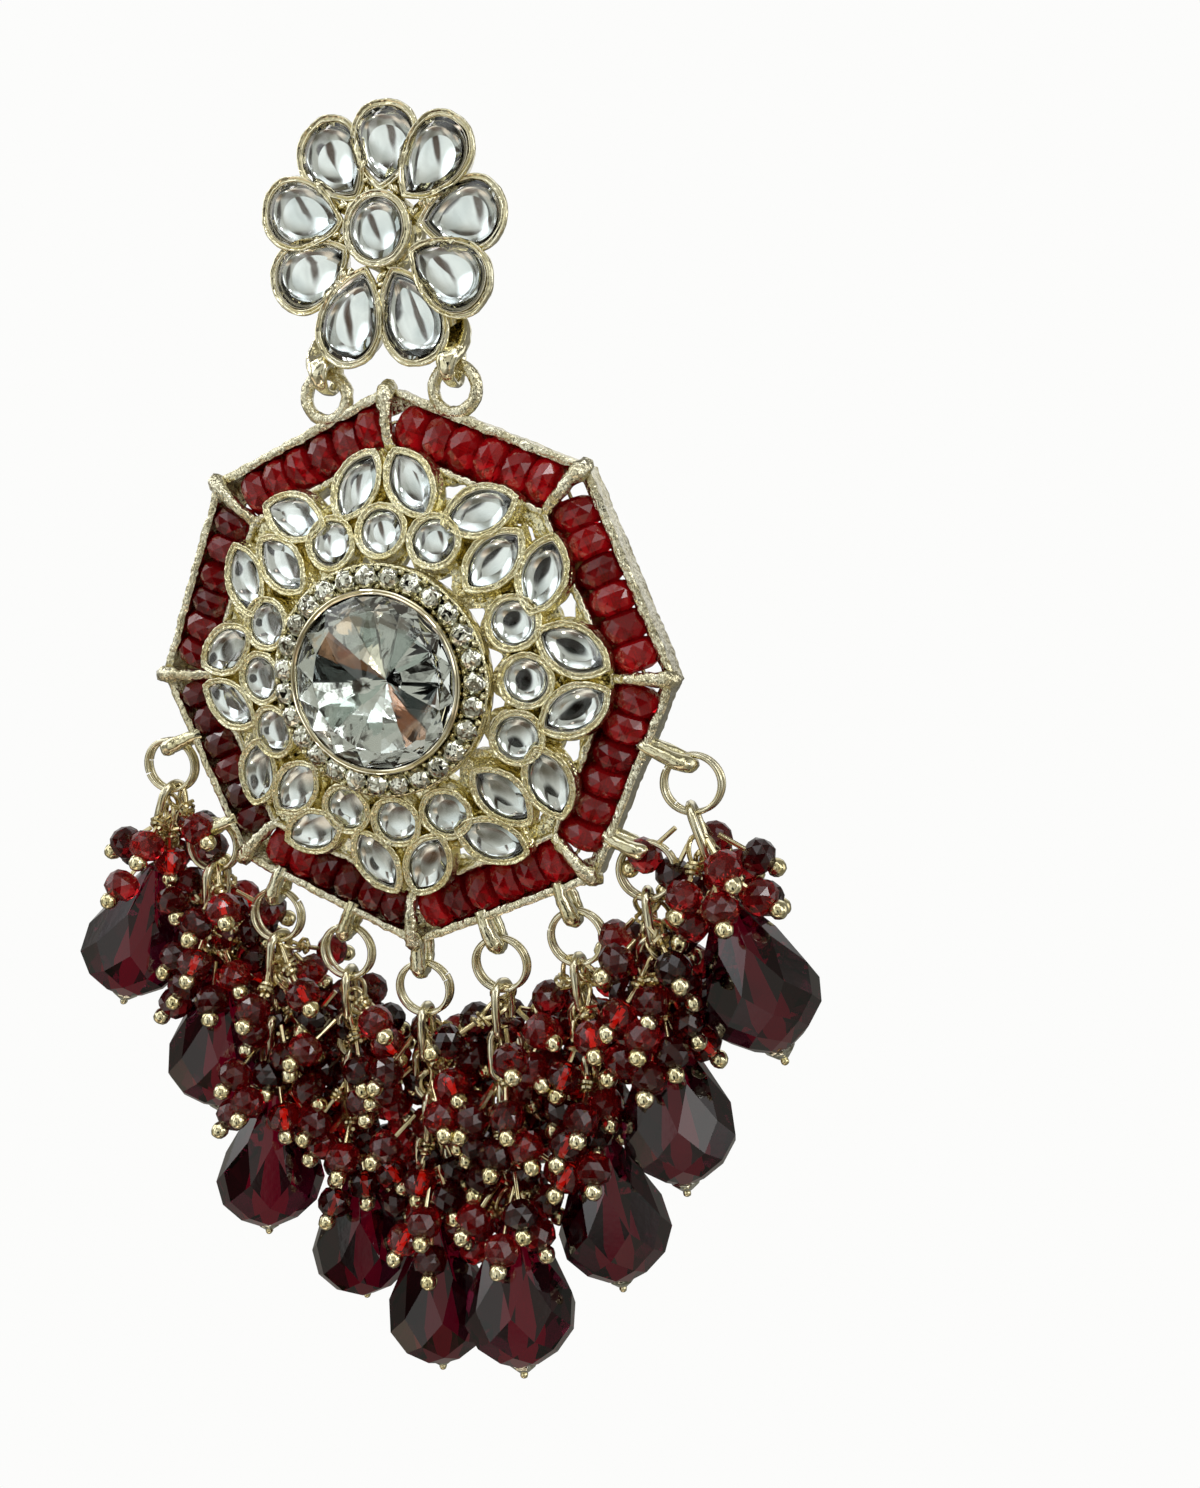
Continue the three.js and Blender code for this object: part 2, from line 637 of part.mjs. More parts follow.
strands.forEach((strand, i) => {
  const { root, side } = strand;
  const barAt = EYE.straight + (EYE.halfWidth + EYE.holeHalfWidth) / 2;
  const barHalf = (EYE.halfWidth - EYE.holeHalfWidth) / 2;
  const ringX = root.x + barAt * Math.cos(root.angle);
  const barZ = root.z + barAt * Math.sin(root.angle);
  const ringZ = barZ - (JUMP_RING.radius - JUMP_RING.wire - FIT_GAP - barHalf) + JUMP_RING.lift;
  const ring = addPiece(pendant, `jump_ring_${i + 1}`, jumpRing(), paleGold);
  ring.position.set(ringX, EYE_Y, ringZ);
  const hang = new THREE.Group();
  hang.position.set(ringX, EYE_Y, ringZ - JUMP_RING.radius);
  const lean = radians(strand.lean) * side;
  const forward = -Math.asin((strand.stagger * side) / STAGGER_OVER);
  hang.rotation.set(forward, -lean, 0);
  pendant.add(hang);
  addPiece(hang, `bead_cluster_${i + 1}`, beadCluster(strand), redBead);
  addPiece(hang, `drop_bead_${i + 1}`, dropBead(strand), garnet);
});

export default earring;
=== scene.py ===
import math
import random

import bmesh
import bpy
from mathutils import Matrix, Vector, noise


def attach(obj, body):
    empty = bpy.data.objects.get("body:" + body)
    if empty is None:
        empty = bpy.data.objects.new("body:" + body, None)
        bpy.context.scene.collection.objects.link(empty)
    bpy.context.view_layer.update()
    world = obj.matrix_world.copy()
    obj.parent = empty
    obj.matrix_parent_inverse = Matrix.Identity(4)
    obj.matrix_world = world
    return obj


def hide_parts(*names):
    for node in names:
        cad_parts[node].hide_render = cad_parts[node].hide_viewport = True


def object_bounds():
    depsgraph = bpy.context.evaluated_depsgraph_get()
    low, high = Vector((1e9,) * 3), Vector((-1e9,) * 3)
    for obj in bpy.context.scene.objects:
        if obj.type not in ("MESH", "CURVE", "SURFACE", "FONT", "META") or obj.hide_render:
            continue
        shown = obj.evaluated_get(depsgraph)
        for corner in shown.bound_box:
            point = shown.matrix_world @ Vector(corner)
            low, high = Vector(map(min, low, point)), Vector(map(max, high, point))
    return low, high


# A chandbali earring: flower stud, octagonal jewelled pendant and nine drops on clusters of beads.
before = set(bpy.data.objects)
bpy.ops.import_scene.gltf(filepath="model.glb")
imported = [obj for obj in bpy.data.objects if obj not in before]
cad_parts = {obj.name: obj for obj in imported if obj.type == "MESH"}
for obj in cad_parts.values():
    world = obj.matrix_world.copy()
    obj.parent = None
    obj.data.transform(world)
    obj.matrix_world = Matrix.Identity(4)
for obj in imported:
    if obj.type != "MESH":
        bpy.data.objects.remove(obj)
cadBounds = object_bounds()
print("frame loaded,", len(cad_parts), "nodes")

mm = 0.001
chance = random.Random(27)
noise.seed_set(27)     # or the castings' rough skin would differ from run to run
pendantAt = Vector((0.0, -2.6, -35.6))     # front of the octagon rim and its centre, in mm
towardFront = Matrix.Rotation(math.pi / 2, 4, "X")     # a flat shape's up becomes the front, -Y
pendantPlace = Matrix.Translation(pendantAt)
asMade = Matrix.Identity(4)     # neither turned nor moved
# an edge that bends by more degrees than this stays sharp
crease = {"soft": 40, "casting": 70, "bar": 60, "turned": 35, "glass": 22, "foil": 13}


# helpers: shapes

def onAxis(angle, place):
    return Matrix.Rotation(-angle, 4, "Y") @ place     # anticlockwise as seen from the front


def anglesRound(count, first=0.0):     # evenly spaced round the circle
    return [2 * math.pi * (i + first) / count for i in range(count)]


def ringPoint(radius, angle, y=0.0):
    return Vector((radius * math.cos(angle), y, radius * math.sin(angle)))


def roundOutline(radius, count):
    def at(offset):
        reach = radius + offset
        return [(reach * math.cos(a), reach * math.sin(a)) for a in anglesRound(count)]
    return at


def marquiseOutline(length, width, count):
    arc = (length ** 2 + width ** 2) / (4 * width)
    drop = arc - width / 2

    def at(offset):
        reach = arc + offset
        half = math.acos(min(1.0, drop / reach))
        points = []
        for side in (1, -1):
            for i in range(count // 2):
                a = half - 2 * half * i / (count // 2)
                points.append((side * reach * math.sin(a), side * (reach * math.cos(a) - drop)))
        return points
    return at


def pearOutline(length, width, middle, blunt, count):     # its tip points back along -u
    def swell(a):
        return math.sin(a) * ((1 + math.cos(a)) / 2) ** blunt

    peak = max(swell(0.01 * i) for i in range(1, 314))

    def at(offset):
        half, wide = length / 2 + offset * 1.2, (width / 2 + offset) / peak
        turns = [-math.pi + a for a in anglesRound(count)]
        return [(middle + half * math.cos(a), wide * swell(a)) for a in turns]
    return at


def octagonOutline(radius, steps):
    def at(offset):
        reach = radius + offset / math.cos(math.pi / 8)
        corners = [Vector((reach * math.cos(i * math.pi / 4), reach * math.sin(i * math.pi / 4)))
                   for i in range(8)]
        points = []
        for i in range(8):
            points += [corners[i].lerp(corners[(i + 1) % 8], j / steps) for j in range(steps)]
        return [(p.x, p.y) for p in points]
    return at


def skin(rings, around=False, ends="cap"):     # a wall drawn from ring to ring, by extruding the first one
    bm = bmesh.new()
    order = bm.verts.layers.int.new("order")
    ring = bmesh.ops.create_circle(bm, cap_ends=False, segments=len(rings[0]), radius=1)["verts"]
    for i, vert in enumerate(ring):
        vert[order] = i
        vert.co = rings[0][i]
    edges = first = bm.edges[:]
    for points in rings[1:]:
        made = bmesh.ops.extrude_edge_only(bm, edges=edges)["geom"]
        ring = [g for g in made if isinstance(g, bmesh.types.BMVert)]
        fresh = set(ring)
        edges = [g for g in made if isinstance(g, bmesh.types.BMEdge) and set(g.verts) <= fresh]
        for vert in ring:
            vert.co = points[vert[order]]
    if around:
        bmesh.ops.bridge_loops(bm, edges=first + edges)
    elif ends == "cap":
        bmesh.ops.contextual_create(bm, geom=first)
        bmesh.ops.contextual_create(bm, geom=edges)
    elif ends == "point":
        bmesh.ops.contextual_create(bm, geom=first)
        middle = sum((v.co for v in ring), Vector()) / len(ring)
        bmesh.ops.pointmerge(bm, verts=ring, merge_co=middle)
    bmesh.ops.recalc_face_normals(bm, faces=bm.faces)
    return bm


def raised(outline, rows, **how):     # rows are (offset from the outline, height)
    rings = [[Vector((u, v, height)) for u, v in outline(offset)] for offset, height in rows]
    return skin(rings, **how)


def dome(outline, crown, levels, foot, slant):
    # a cut cabochon: flat back inset by slant, sides sloping out to the girdle, lens-shaped crown
    points = [Vector((u, v)) for u, v in outline(0.0)]
    middle = sum(points, Vector((0.0, 0.0))) / len(points)
    rings = [[Vector((u, v, 0.0)) for u, v in outline(-slant)], [Vector((p.x, p.y, foot)) for p in points]]
    for level in range(1, levels + 1):
        share = math.cos(0.5 * math.pi * level / (levels + 0.5))
        flat = [middle.lerp(p, share) for p in points]
        rings.append([Vector((p.x, p.y, foot + crown * (1 - share ** 2.2))) for p in flat])
    rings.append([Vector((middle.x, middle.y, foot + crown)) for p in points])
    return skin(rings, ends="point")


def kiteDepths(radii, sides, first):
    # depths for rings of a cut drop, turned half a facet in turn, so that every facet is a flat kite
    inset = math.cos(math.pi / sides)
    depths = [0.0, first]
    for k in range(len(radii) - 2):
        share = (inset * radii[k + 1] - radii[k]) / (radii[k + 2] - radii[k])
        depths.append(depths[k] + (depths[k + 1] - depths[k]) / share)
    return depths


def tube(path, radius, sides, closed=False, squash=1.0, flatWay=None):
    # radius is one number or one for each point; squash narrows the section across flatWay
    count = len(path)
    radii = radius if isinstance(radius, (list, tuple)) else [radius] * count
    rings = []
    side = None
    for i, point in enumerate(path):
        before = path[i - 1] if (i or closed) else path[0]
        after = path[(i + 1) % count] if (i < count - 1 or closed) else path[-1]
        along = (after - before).normalized()
        if flatWay is not None:
            side = flatWay - along * flatWay.dot(along)
        elif side is None:
            side = along.orthogonal()
        else:
            side = side - along * side.dot(along)
        side.normalize()
        across = along.cross(side)
        rings.append([point + side * (radii[i] * math.cos(a)) + across * (radii[i] * squash * math.sin(a))
                      for a in anglesRound(sides, 0.5)])
    return skin(rings, around=closed)


def turnedBody(profile, sides, phases=None):     # rows (radius, height) about the local Z axis
    rings = []
    for row, (radius, height) in enumerate(profile):
        phase = (phases[row] if phases else 0.0) * 2 * math.pi / sides
        turns = [phase + a for a in anglesRound(sides)]
        rings.append([Vector((radius * math.cos(a), radius * math.sin(a), height)) for a in turns])
    return skin(rings)


def cutStone(levels, sides, merge):     # facets of the hull of rings (radius, height, phase)
    bm = bmesh.new()
    for radius, height, phase in levels:
        if radius < 0.001:
            bmesh.ops.create_vert(bm, co=(0, 0, height))
            continue
        turn = Matrix.Rotation(phase * 2 * math.pi / sides, 4, "Z")
        place = Matrix.Translation((0, 0, height)) @ turn
        bmesh.ops.create_circle(bm, cap_ends=False, segments=sides, radius=radius, matrix=place)
    hull = bmesh.ops.convex_hull(bm, input=bm.verts[:])
    inside = [g for g in hull["geom_interior"] + hull["geom_unused"] if isinstance(g, bmesh.types.BMVert)]
    bmesh.ops.delete(bm, geom=inside, context="VERTS")
    loose = [e for e in bm.edges if not e.link_faces]
    bmesh.ops.delete(bm, geom=loose, context="EDGES")
    bmesh.ops.dissolve_limit(bm, angle_limit=math.radians(merge), verts=bm.verts, edges=bm.edges)
    bmesh.ops.recalc_face_normals(bm, faces=bm.faces)
    return bm


def ball(radius, rings, segments):
    bm = bmesh.new()
    bmesh.ops.create_uvsphere(bm, u_segments=segments, v_segments=rings, radius=radius)
    return bm


def turnsAbout(radius, turns, pitch, steps):     # a helix about Z, downwards
    points = []
    for i in range(steps + 1):
        a = 2 * math.pi * turns * i / steps
        points.append(Vector((radius * math.cos(a), radius * math.sin(a), -pitch * turns * i / steps)))
    return points


def rough(bm, amount, grain, seed=0.0):     # uneven surface of a casting, amount and grain in mm
    shift = Vector((seed, seed * 0.7, -seed))
    for vert in bm.verts:
        vert.co += noise.noise_vector(vert.co / grain + shift) * amount


def milled(bm, low, depth):
    # a grained edge: above low, every second column of a raised outline is pressed in
    order = bm.verts.layers.int["order"]
    for vert in bm.verts:
        if vert.co.z > low and vert[order] % 2:
            vert.co.z -= depth
    return bm


def smoothed(bm, sharpAngle=crease["soft"]):
    for face in bm.faces:
        face.smooth = True
    for edge in bm.edges:
        if len(edge.link_faces) == 2 and edge.calc_face_angle() > math.radians(sharpAngle):
            edge.smooth = False
    return bm


def makeMould(bm, material=None):     # a finished small shape that is stamped into bigger pieces
    mould = bpy.data.meshes.new("mould")
    if material is not None:
        for face in bm.faces:
            face.material_index = material
    bm.to_mesh(mould)
    bm.free()
    return mould


def newPiece():
    bm = bmesh.new()
    bm.faces.layers.float.new("tone")
    return bm


def stamp(piece, mould, place, tone=0.5):
    copy = mould.copy()
    copy.transform(place)
    start = len(piece.faces)
    piece.from_mesh(copy)
    bpy.data.meshes.remove(copy)
    piece.faces.ensure_lookup_table()
    layer = piece.faces.layers.float["tone"]
    for face in piece.faces[start:]:
        face[layer] = tone


def addShape(piece, bm, place, sharpAngle=crease["soft"], material=0):     # a shape that is used only once
    mould = makeMould(smoothed(bm, sharpAngle), material)
    stamp(piece, mould, place)
    bpy.data.meshes.remove(mould)


def finishPiece(piece, name, body, materials, replaces=()):
    bmesh.ops.transform(piece, matrix=Matrix.Scale(mm, 4), verts=piece.verts)
    mesh = bpy.data.meshes.new(name)
    piece.to_mesh(mesh)
    piece.free()
    for material in materials:
        mesh.materials.append(material)
    made = bpy.data.objects.new(name, mesh)
    bpy.context.scene.collection.objects.link(made)
    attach(made, body)
    if replaces:
        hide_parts(*replaces)


# helpers: materials

def linear(hexColour):     # sRGB hex to linear light
    values = [int(hexColour[i:i + 2], 16) / 255 for i in (1, 3, 5)]
    return [v / 12.92 if v <= 0.04045 else ((v + 0.055) / 1.055) ** 2.4 for v in values] + [1.0]


def addNode(tree, kind, settings=None, links=None):
    made = tree.nodes.new(kind)
    for key, value in (settings or {}).items():
        if isinstance(key, str) and hasattr(made, key):
            setattr(made, key, value)
        else:
            made.inputs[key].default_value = value
    for key, source in (links or {}).items():
        tree.links.new(source, made.inputs[key])
    return made


def newMaterial(name):
    material = bpy.data.materials.new(name)
    material.use_nodes = True
    tree = material.node_tree
    shader = tree.nodes["Principled BSDF"]
    place = addNode(tree, "ShaderNodeTexCoord").outputs["Object"]
    return material, tree, shader, place


def setShader(tree, shader, values, links=None):     # uniform values, and sockets that a pattern feeds
    for key, value in values.items():
        shader.inputs[key].default_value = value
    for key, source in (links or {}).items():
        tree.links.new(source, shader.inputs[key])


def rampStops(ramp, stops):
    elements = ramp.color_ramp.elements
    while len(elements) < len(stops):
        elements.new(0.5)
    for element, (position, colour) in zip(elements, stops):
        element.position = position
        element.color = linear(colour)


def castGold(name, light, dark, hollow, grain, roughness, bump, metallic=1.0):
    # pale gold plate on a zinc casting: uneven, pricked all over with fine grains; an occlusion mask darkens
    # its hollows, painted shade together with the plate's antique darkening
    material, tree, shader, place = newMaterial(name)
    patches = addNode(tree, "ShaderNodeTexNoise", {"Scale": 1 / (1.6 * mm), "Detail": 3.0}, {"Vector": place})
    tint = addNode(tree, "ShaderNodeValToRGB", None, {"Fac": patches.outputs["Fac"]})
    rampStops(tint, [(0.35, dark), (0.65, light)])
    # painted shade: ambient occlusion blends in the hollow colour where the surface is shut in
    reach = addNode(tree, "ShaderNodeAmbientOcclusion", {"samples": 6, "Distance": 0.9 * mm})
    depth = addNode(tree, "ShaderNodeMapRange", {"From Min": 0.2, "From Max": 0.75},
                    {"Value": reach.outputs["AO"]})
    colour = addNode(tree, "ShaderNodeMix", {"data_type": "RGBA", 6: linear(hollow)},
                     {0: depth.outputs["Result"], 7: tint.outputs["Color"]})
    polish = addNode(tree, "ShaderNodeTexNoise", {"Scale": 1 / (0.7 * mm), "Detail": 2.0}, {"Vector": place})
    gloss = addNode(tree, "ShaderNodeMapRange", {"To Min": roughness[0], "To Max": roughness[1]},
                    {"Value": polish.outputs["Fac"]})
    peel = addNode(tree, "ShaderNodeTexNoise", {"Scale": 1 / (1.4 * grain * mm), "Detail": 3.0},
                   {"Vector": place})
    pricks = addNode(tree, "ShaderNodeTexVoronoi",
                     {"feature": "SMOOTH_F1", "Scale": 1 / (grain * mm), "Smoothness": 0.5},
                     {"Vector": place})
    height = addNode(tree, "ShaderNodeMath", {"operation": "MULTIPLY_ADD", 1: -0.7},
                     {0: pricks.outputs["Distance"], 2: peel.outputs["Fac"]})
    relief = addNode(tree, "ShaderNodeBump", {"Strength": bump, "Distance": 0.22 * mm},
                     {"Height": height.outputs["Value"]})
    setShader(tree, shader, {"Metallic": metallic},
              {"Base Color": colour.outputs[2], "Roughness": gloss.outputs["Result"],
               "Normal": relief.outputs["Normal"]})
    return material


def drawnWire(name, light, dark):
    # gold-plated drawn wire: smooth and bright, with faint streaks and a slightly worn plate
    material, tree, shader, place = newMaterial(name)
    wear = addNode(tree, "ShaderNodeTexNoise", {"Scale": 1 / (1.1 * mm), "Detail": 2.0}, {"Vector": place})
    tint = addNode(tree, "ShaderNodeValToRGB", None, {"Fac": wear.outputs["Fac"]})
    rampStops(tint, [(0.3, dark), (0.6, light)])
    fine = addNode(tree, "ShaderNodeTexNoise", {"Scale": 1 / (0.12 * mm)}, {"Vector": place})
    relief = addNode(tree, "ShaderNodeBump", {"Strength": 0.12, "Distance": 0.03 * mm},
                     {"Height": fine.outputs["Fac"]})
    setShader(tree, shader, {"Metallic": 1.0, "Roughness": 0.2},
              {"Base Color": tint.outputs["Color"], "Normal": relief.outputs["Normal"]})
    return material


def clearGlass(name, colour, ior=1.52):
    # cut crystal glass: clear, polished, faint polishing waves that bend its reflections
    material, tree, shader, place = newMaterial(name)
    waves = addNode(tree, "ShaderNodeTexNoise", {"Scale": 1 / (1.8 * mm), "Detail": 0.0}, {"Vector": place})
    relief = addNode(tree, "ShaderNodeBump", {"Strength": 0.12, "Distance": 0.08 * mm},
                     {"Height": waves.outputs["Fac"]})
    setShader(tree, shader, {"Base Color": linear(colour), "Transmission Weight": 1.0, "IOR": ior,
                             "Roughness": 0.0}, {"Normal": relief.outputs["Normal"]})
    return material


def mirrorFoil(name, light, dark, crinkle, size):
    # silver foil behind a stone: a bright mirror, a little crinkled, greyed in patches
    material, tree, shader, place = newMaterial(name)
    patches = addNode(tree, "ShaderNodeTexNoise", {"Scale": 1 / (size * mm), "Detail": 1.0},
                      {"Vector": place})
    tint = addNode(tree, "ShaderNodeValToRGB", None, {"Fac": patches.outputs["Fac"]})
    rampStops(tint, [(0.3, dark), (0.55, light)])
    folds = addNode(tree, "ShaderNodeTexNoise",
                    {"Scale": 1 / (size * 1.2 * mm), "Detail": 1.0, "Distortion": 0.6}, {"Vector": place})
    relief = addNode(tree, "ShaderNodeBump", {"Strength": crinkle, "Distance": 0.35 * mm},
                     {"Height": folds.outputs["Fac"]})
    setShader(tree, shader, {"Metallic": 1.0, "Roughness": 0.04},
              {"Base Color": tint.outputs["Color"], "Normal": relief.outputs["Normal"]})
    return material


def paintedReflectionFacets(name):
    # silvered back of a cut crystal: every facet is a clean mirror whose white, grey, copper or dark colour
    # is painted, painted reflections that make the star's light and dark shards
    material, tree, shader, place = newMaterial(name)
    tone = addNode(tree, "ShaderNodeAttribute", {"attribute_name": "tone"})
    tint = addNode(tree, "ShaderNodeValToRGB", None, {"Fac": tone.outputs["Fac"]})
    tint.color_ramp.interpolation = "CONSTANT"
    # painted reflections: the facet's tone picks a white, pale, grey, copper or dark mirror colour
    rampStops(tint, [(0.0, "#FFFFFF"), (0.34, "#DCE6E4"), (0.5, "#9AA8A4"), (0.61, "#D09C7C"),
                     (0.7, "#485052"), (0.8, "#B4C0BA"), (0.88, "#FFFFFF")])
    waves = addNode(tree, "ShaderNodeTexNoise", {"Scale": 1 / (1.2 * mm)}, {"Vector": place})
    relief = addNode(tree, "ShaderNodeBump", {"Strength": 0.15, "Distance": 0.1 * mm},
                     {"Height": waves.outputs["Fac"]})
    setShader(tree, shader, {"Metallic": 1.0, "Roughness": 0.06},
              {"Base Color": tint.outputs["Color"], "Normal": relief.outputs["Normal"]})
    return material


def redGlass(name, bright, deep, roughness=0.04, transmission=0.9, glow=0.0, gloss=0.35):
    # pressed and cut red glass: see-through but strongly coloured, some beads lighter than others
    material, tree, shader, place = newMaterial(name)
    tone = addNode(tree, "ShaderNodeAttribute", {"attribute_name": "tone"})
    cloud = addNode(tree, "ShaderNodeTexNoise", {"Scale": 1 / (2.2 * mm), "Detail": 2.0}, {"Vector": place})
    level = addNode(tree, "ShaderNodeMath", {"operation": "MULTIPLY_ADD", 1: 0.5, 2: -0.25},
                    {0: cloud.outputs["Fac"]})
    total = addNode(tree, "ShaderNodeMath", {"operation": "ADD"},
                    {0: tone.outputs["Fac"], 1: level.outputs["Value"]})
    tint = addNode(tree, "ShaderNodeValToRGB", None, {"Fac": total.outputs["Value"]})
    rampStops(tint, [(0.1, deep), (0.9, bright)])
    scuffs = addNode(tree, "ShaderNodeTexNoise", {"Scale": 1 / (0.5 * mm), "Detail": 2.0}, {"Vector": place})
    relief = addNode(tree, "ShaderNodeBump", {"Strength": 0.06, "Distance": 0.05 * mm},
                     {"Height": scuffs.outputs["Fac"]})
    setShader(tree, shader, {"Transmission Weight": transmission, "IOR": 1.54, "Specular IOR Level": gloss,
                             "Roughness": roughness},
              {"Base Color": tint.outputs["Color"], "Normal": relief.outputs["Normal"]})
    if glow:     # painted glow: the glass gives off light of its own round its drilled hole, standing in for light gathered there
        setShader(tree, shader, {"Emission Color": linear(bright), "Emission Strength": glow})
    return material


castMetal = castGold("paleGoldCasting", "#F9F5D4", "#ECE3B2", "#D4C892",
                     grain=0.34, roughness=(0.05, 0.18), bump=0.6)
flowerMetal = castGold("paleGoldFlower", "#F8F4DA", "#EDE5C0", "#DACF9E",
                       grain=0.7, roughness=(0.05, 0.16), bump=0.45)
twigMetal = castGold("granulatedGoldEdge", "#F6F2DA", "#E4DCB8", "#AFA274",
                     grain=0.34, roughness=(0.12, 0.3), bump=0.6)
eyeMetal = castGold("wornGoldEye", "#F4F0D4", "#DED6AC", "#A2946A",
                    grain=0.6, roughness=(0.1, 0.26), bump=0.35)
bezelMetal = castGold("polishedGoldBezel", "#F4EEDA", "#E2DABC", "#B0A47C",
                      grain=1.1, roughness=(0.06, 0.14), bump=0.1)
pinBall = castGold("paleGoldPinBall", "#F8F0CC", "#E8DCAA", "#B8A870",
                   grain=0.5, roughness=(0.1, 0.22), bump=0.2)
seatMetal = castGold("satinSeatUnderGlass", "#F6F5E8", "#E8E4D0", "#E0DAC0",
                     grain=0.8, roughness=(0.35, 0.5), bump=0.12, metallic=0.35)
ringWire = drawnWire("paleGoldRingWire", "#F0EAD0", "#DAD0A8")
pinWire = drawnWire("goldHeadPinWire", "#F0E4BC", "#D8C694")
stoneGlass = clearGlass("clearKundanGlass", "#FBFDFD")
stoneFoil = mirrorFoil("silverStoneFoil", "#F5F9F9", "#E0E7E8", crinkle=0.12, size=2.1)
crystalGlass = clearGlass("clearCrystalGlass", "#F6FBF9", ior=1.58)
crystalFoil = paintedReflectionFacets("crystalBackPaintedReflections")
smokyChaton = mirrorFoil("smokyChatonGlass", "#E6E7DA", "#A9A998", crinkle=0.5, size=0.6)
rondelleGlass = redGlass("redRondelleGlass", "#C8121A", "#62050B", transmission=0.65)
smallBeadGlass = redGlass("maroonBeadGlass", "#B81F24", "#46080C", gloss=0.3)
beadHoleGlow = redGlass("beadHolePaintedGlow", "#FF4A22", "#D22412", roughness=0.5, transmission=0.0, glow=0.5)
garnetGlass = redGlass("garnetDropGlass", "#3A0517", "#1D030B", roughness=0.01, transmission=1.0, gloss=0.3)
garnetGlowCore = redGlass("garnetCorePaintedGlow", "#E01C68", "#9A0C42", roughness=0.5, transmission=0.0, glow=0.45)
print("materials ready")


# the stage: camera, pale floor, soft studio light

camera = {"place": (45.04, -93.08, -25.28), "azimuth": 17.1, "elevation": 9.35, "roll": -1.32, "lens": 29.03}
studio = {
    "backdrop": "#FCFCFB",
    # the room from straight behind the earring (0) to straight ahead of it (1)
    "room": [(0.0, "#706E68"), (0.3, "#85827A"), (0.46, "#6A675F"), (0.58, "#7A776E"), (0.7, "#B0AEA2"),
             (1.0, "#BEBCB2")],
    # azimuth from the front towards +X, height, half width, half height and tilt, all in degrees,
    # then softness, colour and brightness; the last six are small bare bulbs that make the grains sparkle
    "windows": [(-27, 2, 28, 26, 0, 0.3, "#EDF3F5", 0.5), (-50, 32, 14, 18, 15, 0.3, "#F4F8FF", 1.6),
                (-88, 24, 13, 20, 0, 0.3, "#FFFFFF", 1.9), (0, 78, 60, 22, 0, 0.5, "#F6FAFF", 1.6),
                (62, 24, 12, 20, -10, 0.3, "#FFFFFF", 2.0), (106, 6, 14, 24, 0, 0.4, "#FFFFFF", 1.1),
                (-128, 15, 20, 24, 0, 0.5, "#FFFFFF", 0.55), (180, 25, 24, 26, 0, 0.5, "#FFFFFF", 0.8),
                (-180, 25, 24, 26, 0, 0.5, "#FFFFFF", 0.8), (38, -30, 12, 10, 0, 0.5, "#F0C8A0", 0.7),
                (-62, -34, 14, 12, 0, 0.5, "#EBC8A8", 0.6), (-14, -64, 40, 12, 0, 0.5, "#FFE6CC", 0.9),
                (-64, 58, 5, 4, 0, 0.4, "#FFFFFF", 9.0), (44, 50, 5, 4, 0, 0.4, "#FFFFFF", 9.0),
                (-4, 44, 4, 3, 0, 0.4, "#FFFFFF", 8.0), (84, 8, 4, 6, 0, 0.4, "#FFFFFF", 7.0),
                (-114, 30, 4, 5, 0, 0.4, "#FFFFFF", 6.0), (10, -52, 5, 3, 0, 0.4, "#FFF0DC", 5.0)],
    # dark things in the room: the same, with the colour of the light they leave
    "shades": [(4, -6, 14, 17, 0, 0.2, "#1C1816"), (-25, 6, 3.5, 18, 20, 0.35, "#5C4C44"),
               (-54, 2, 6, 34, 14, 0.4, "#4A3E36"), (20, -36, 44, 10, 0, 0.6, "#8C8478"),
               (36, 8, 5, 32, -12, 0.4, "#4E443E"), (-30, -46, 26, 9, -12, 0.5, "#7A5C48"),
               (-14, 42, 24, 6, 14, 0.5, "#5E534B"), (20, -70, 30, 10, 0, 0.5, "#7A7268")],
}


def placeCamera():
    data = bpy.data.cameras.new("frontCamera")
    data.lens = camera["lens"]
    data.sensor_width = 36
    data.clip_start = 0.005
    eye = bpy.data.objects.new("frontCamera", data)
    turn = (Matrix.Rotation(math.radians(camera["azimuth"]), 4, "Z")
            @ Matrix.Rotation(math.radians(90 - camera["elevation"]), 4, "X")
            @ Matrix.Rotation(math.radians(camera["roll"]), 4, "Z"))
    eye.matrix_world = Matrix.Translation(Vector(camera["place"]) * mm) @ turn
    bpy.context.scene.collection.objects.link(eye)
    bpy.context.scene.camera = eye


def layFloor():
    floor = {"below": 120, "radius": 4000}
    bm = bmesh.new()
    bmesh.ops.create_circle(bm, cap_ends=True, segments=96, radius=floor["radius"] * mm)
    height = cadBounds[0].z - floor["below"] * mm
    bmesh.ops.translate(bm, vec=(0, 0, height), verts=bm.verts)
    mesh = bpy.data.meshes.new("paleFloor")
    bm.to_mesh(mesh)
    bm.free()
    # lit evenly from below like a light table, so it stays pale without shining on the earring
    material, tree, shader, place = newMaterial("paleLightTable")
    setShader(tree, shader, {"Base Color": linear("#000000"), "Specular IOR Level": 0.0, "Roughness": 1.0,
                             "Emission Color": linear(studio["backdrop"]), "Emission Strength": 1.0})
    mesh.materials.append(material)
    made = bpy.data.objects.new("paleFloor", mesh)
    made.visible_glossy = made.visible_transmission = made.visible_diffuse = False
    bpy.context.scene.collection.objects.link(made)


def lightPanel(name, place, size, power, colour):
    data = bpy.data.lights.new(name, "AREA")
    data.shape = "RECTANGLE"
    data.size = size[0] * mm
    data.size_y = size[1] * mm
    data.energy = power
    data.color = linear(colour)[:3]
    lamp = bpy.data.objects.new(name, data)
    spot = Vector(place) * mm
    aim = Vector((0, 0, -50)) * mm
    lamp.location = spot
    lamp.rotation_euler = (aim - spot).to_track_quat("-Z", "Y").to_euler()
    lamp.visible_glossy = lamp.visible_transmission = False
    bpy.context.scene.collection.objects.link(lamp)


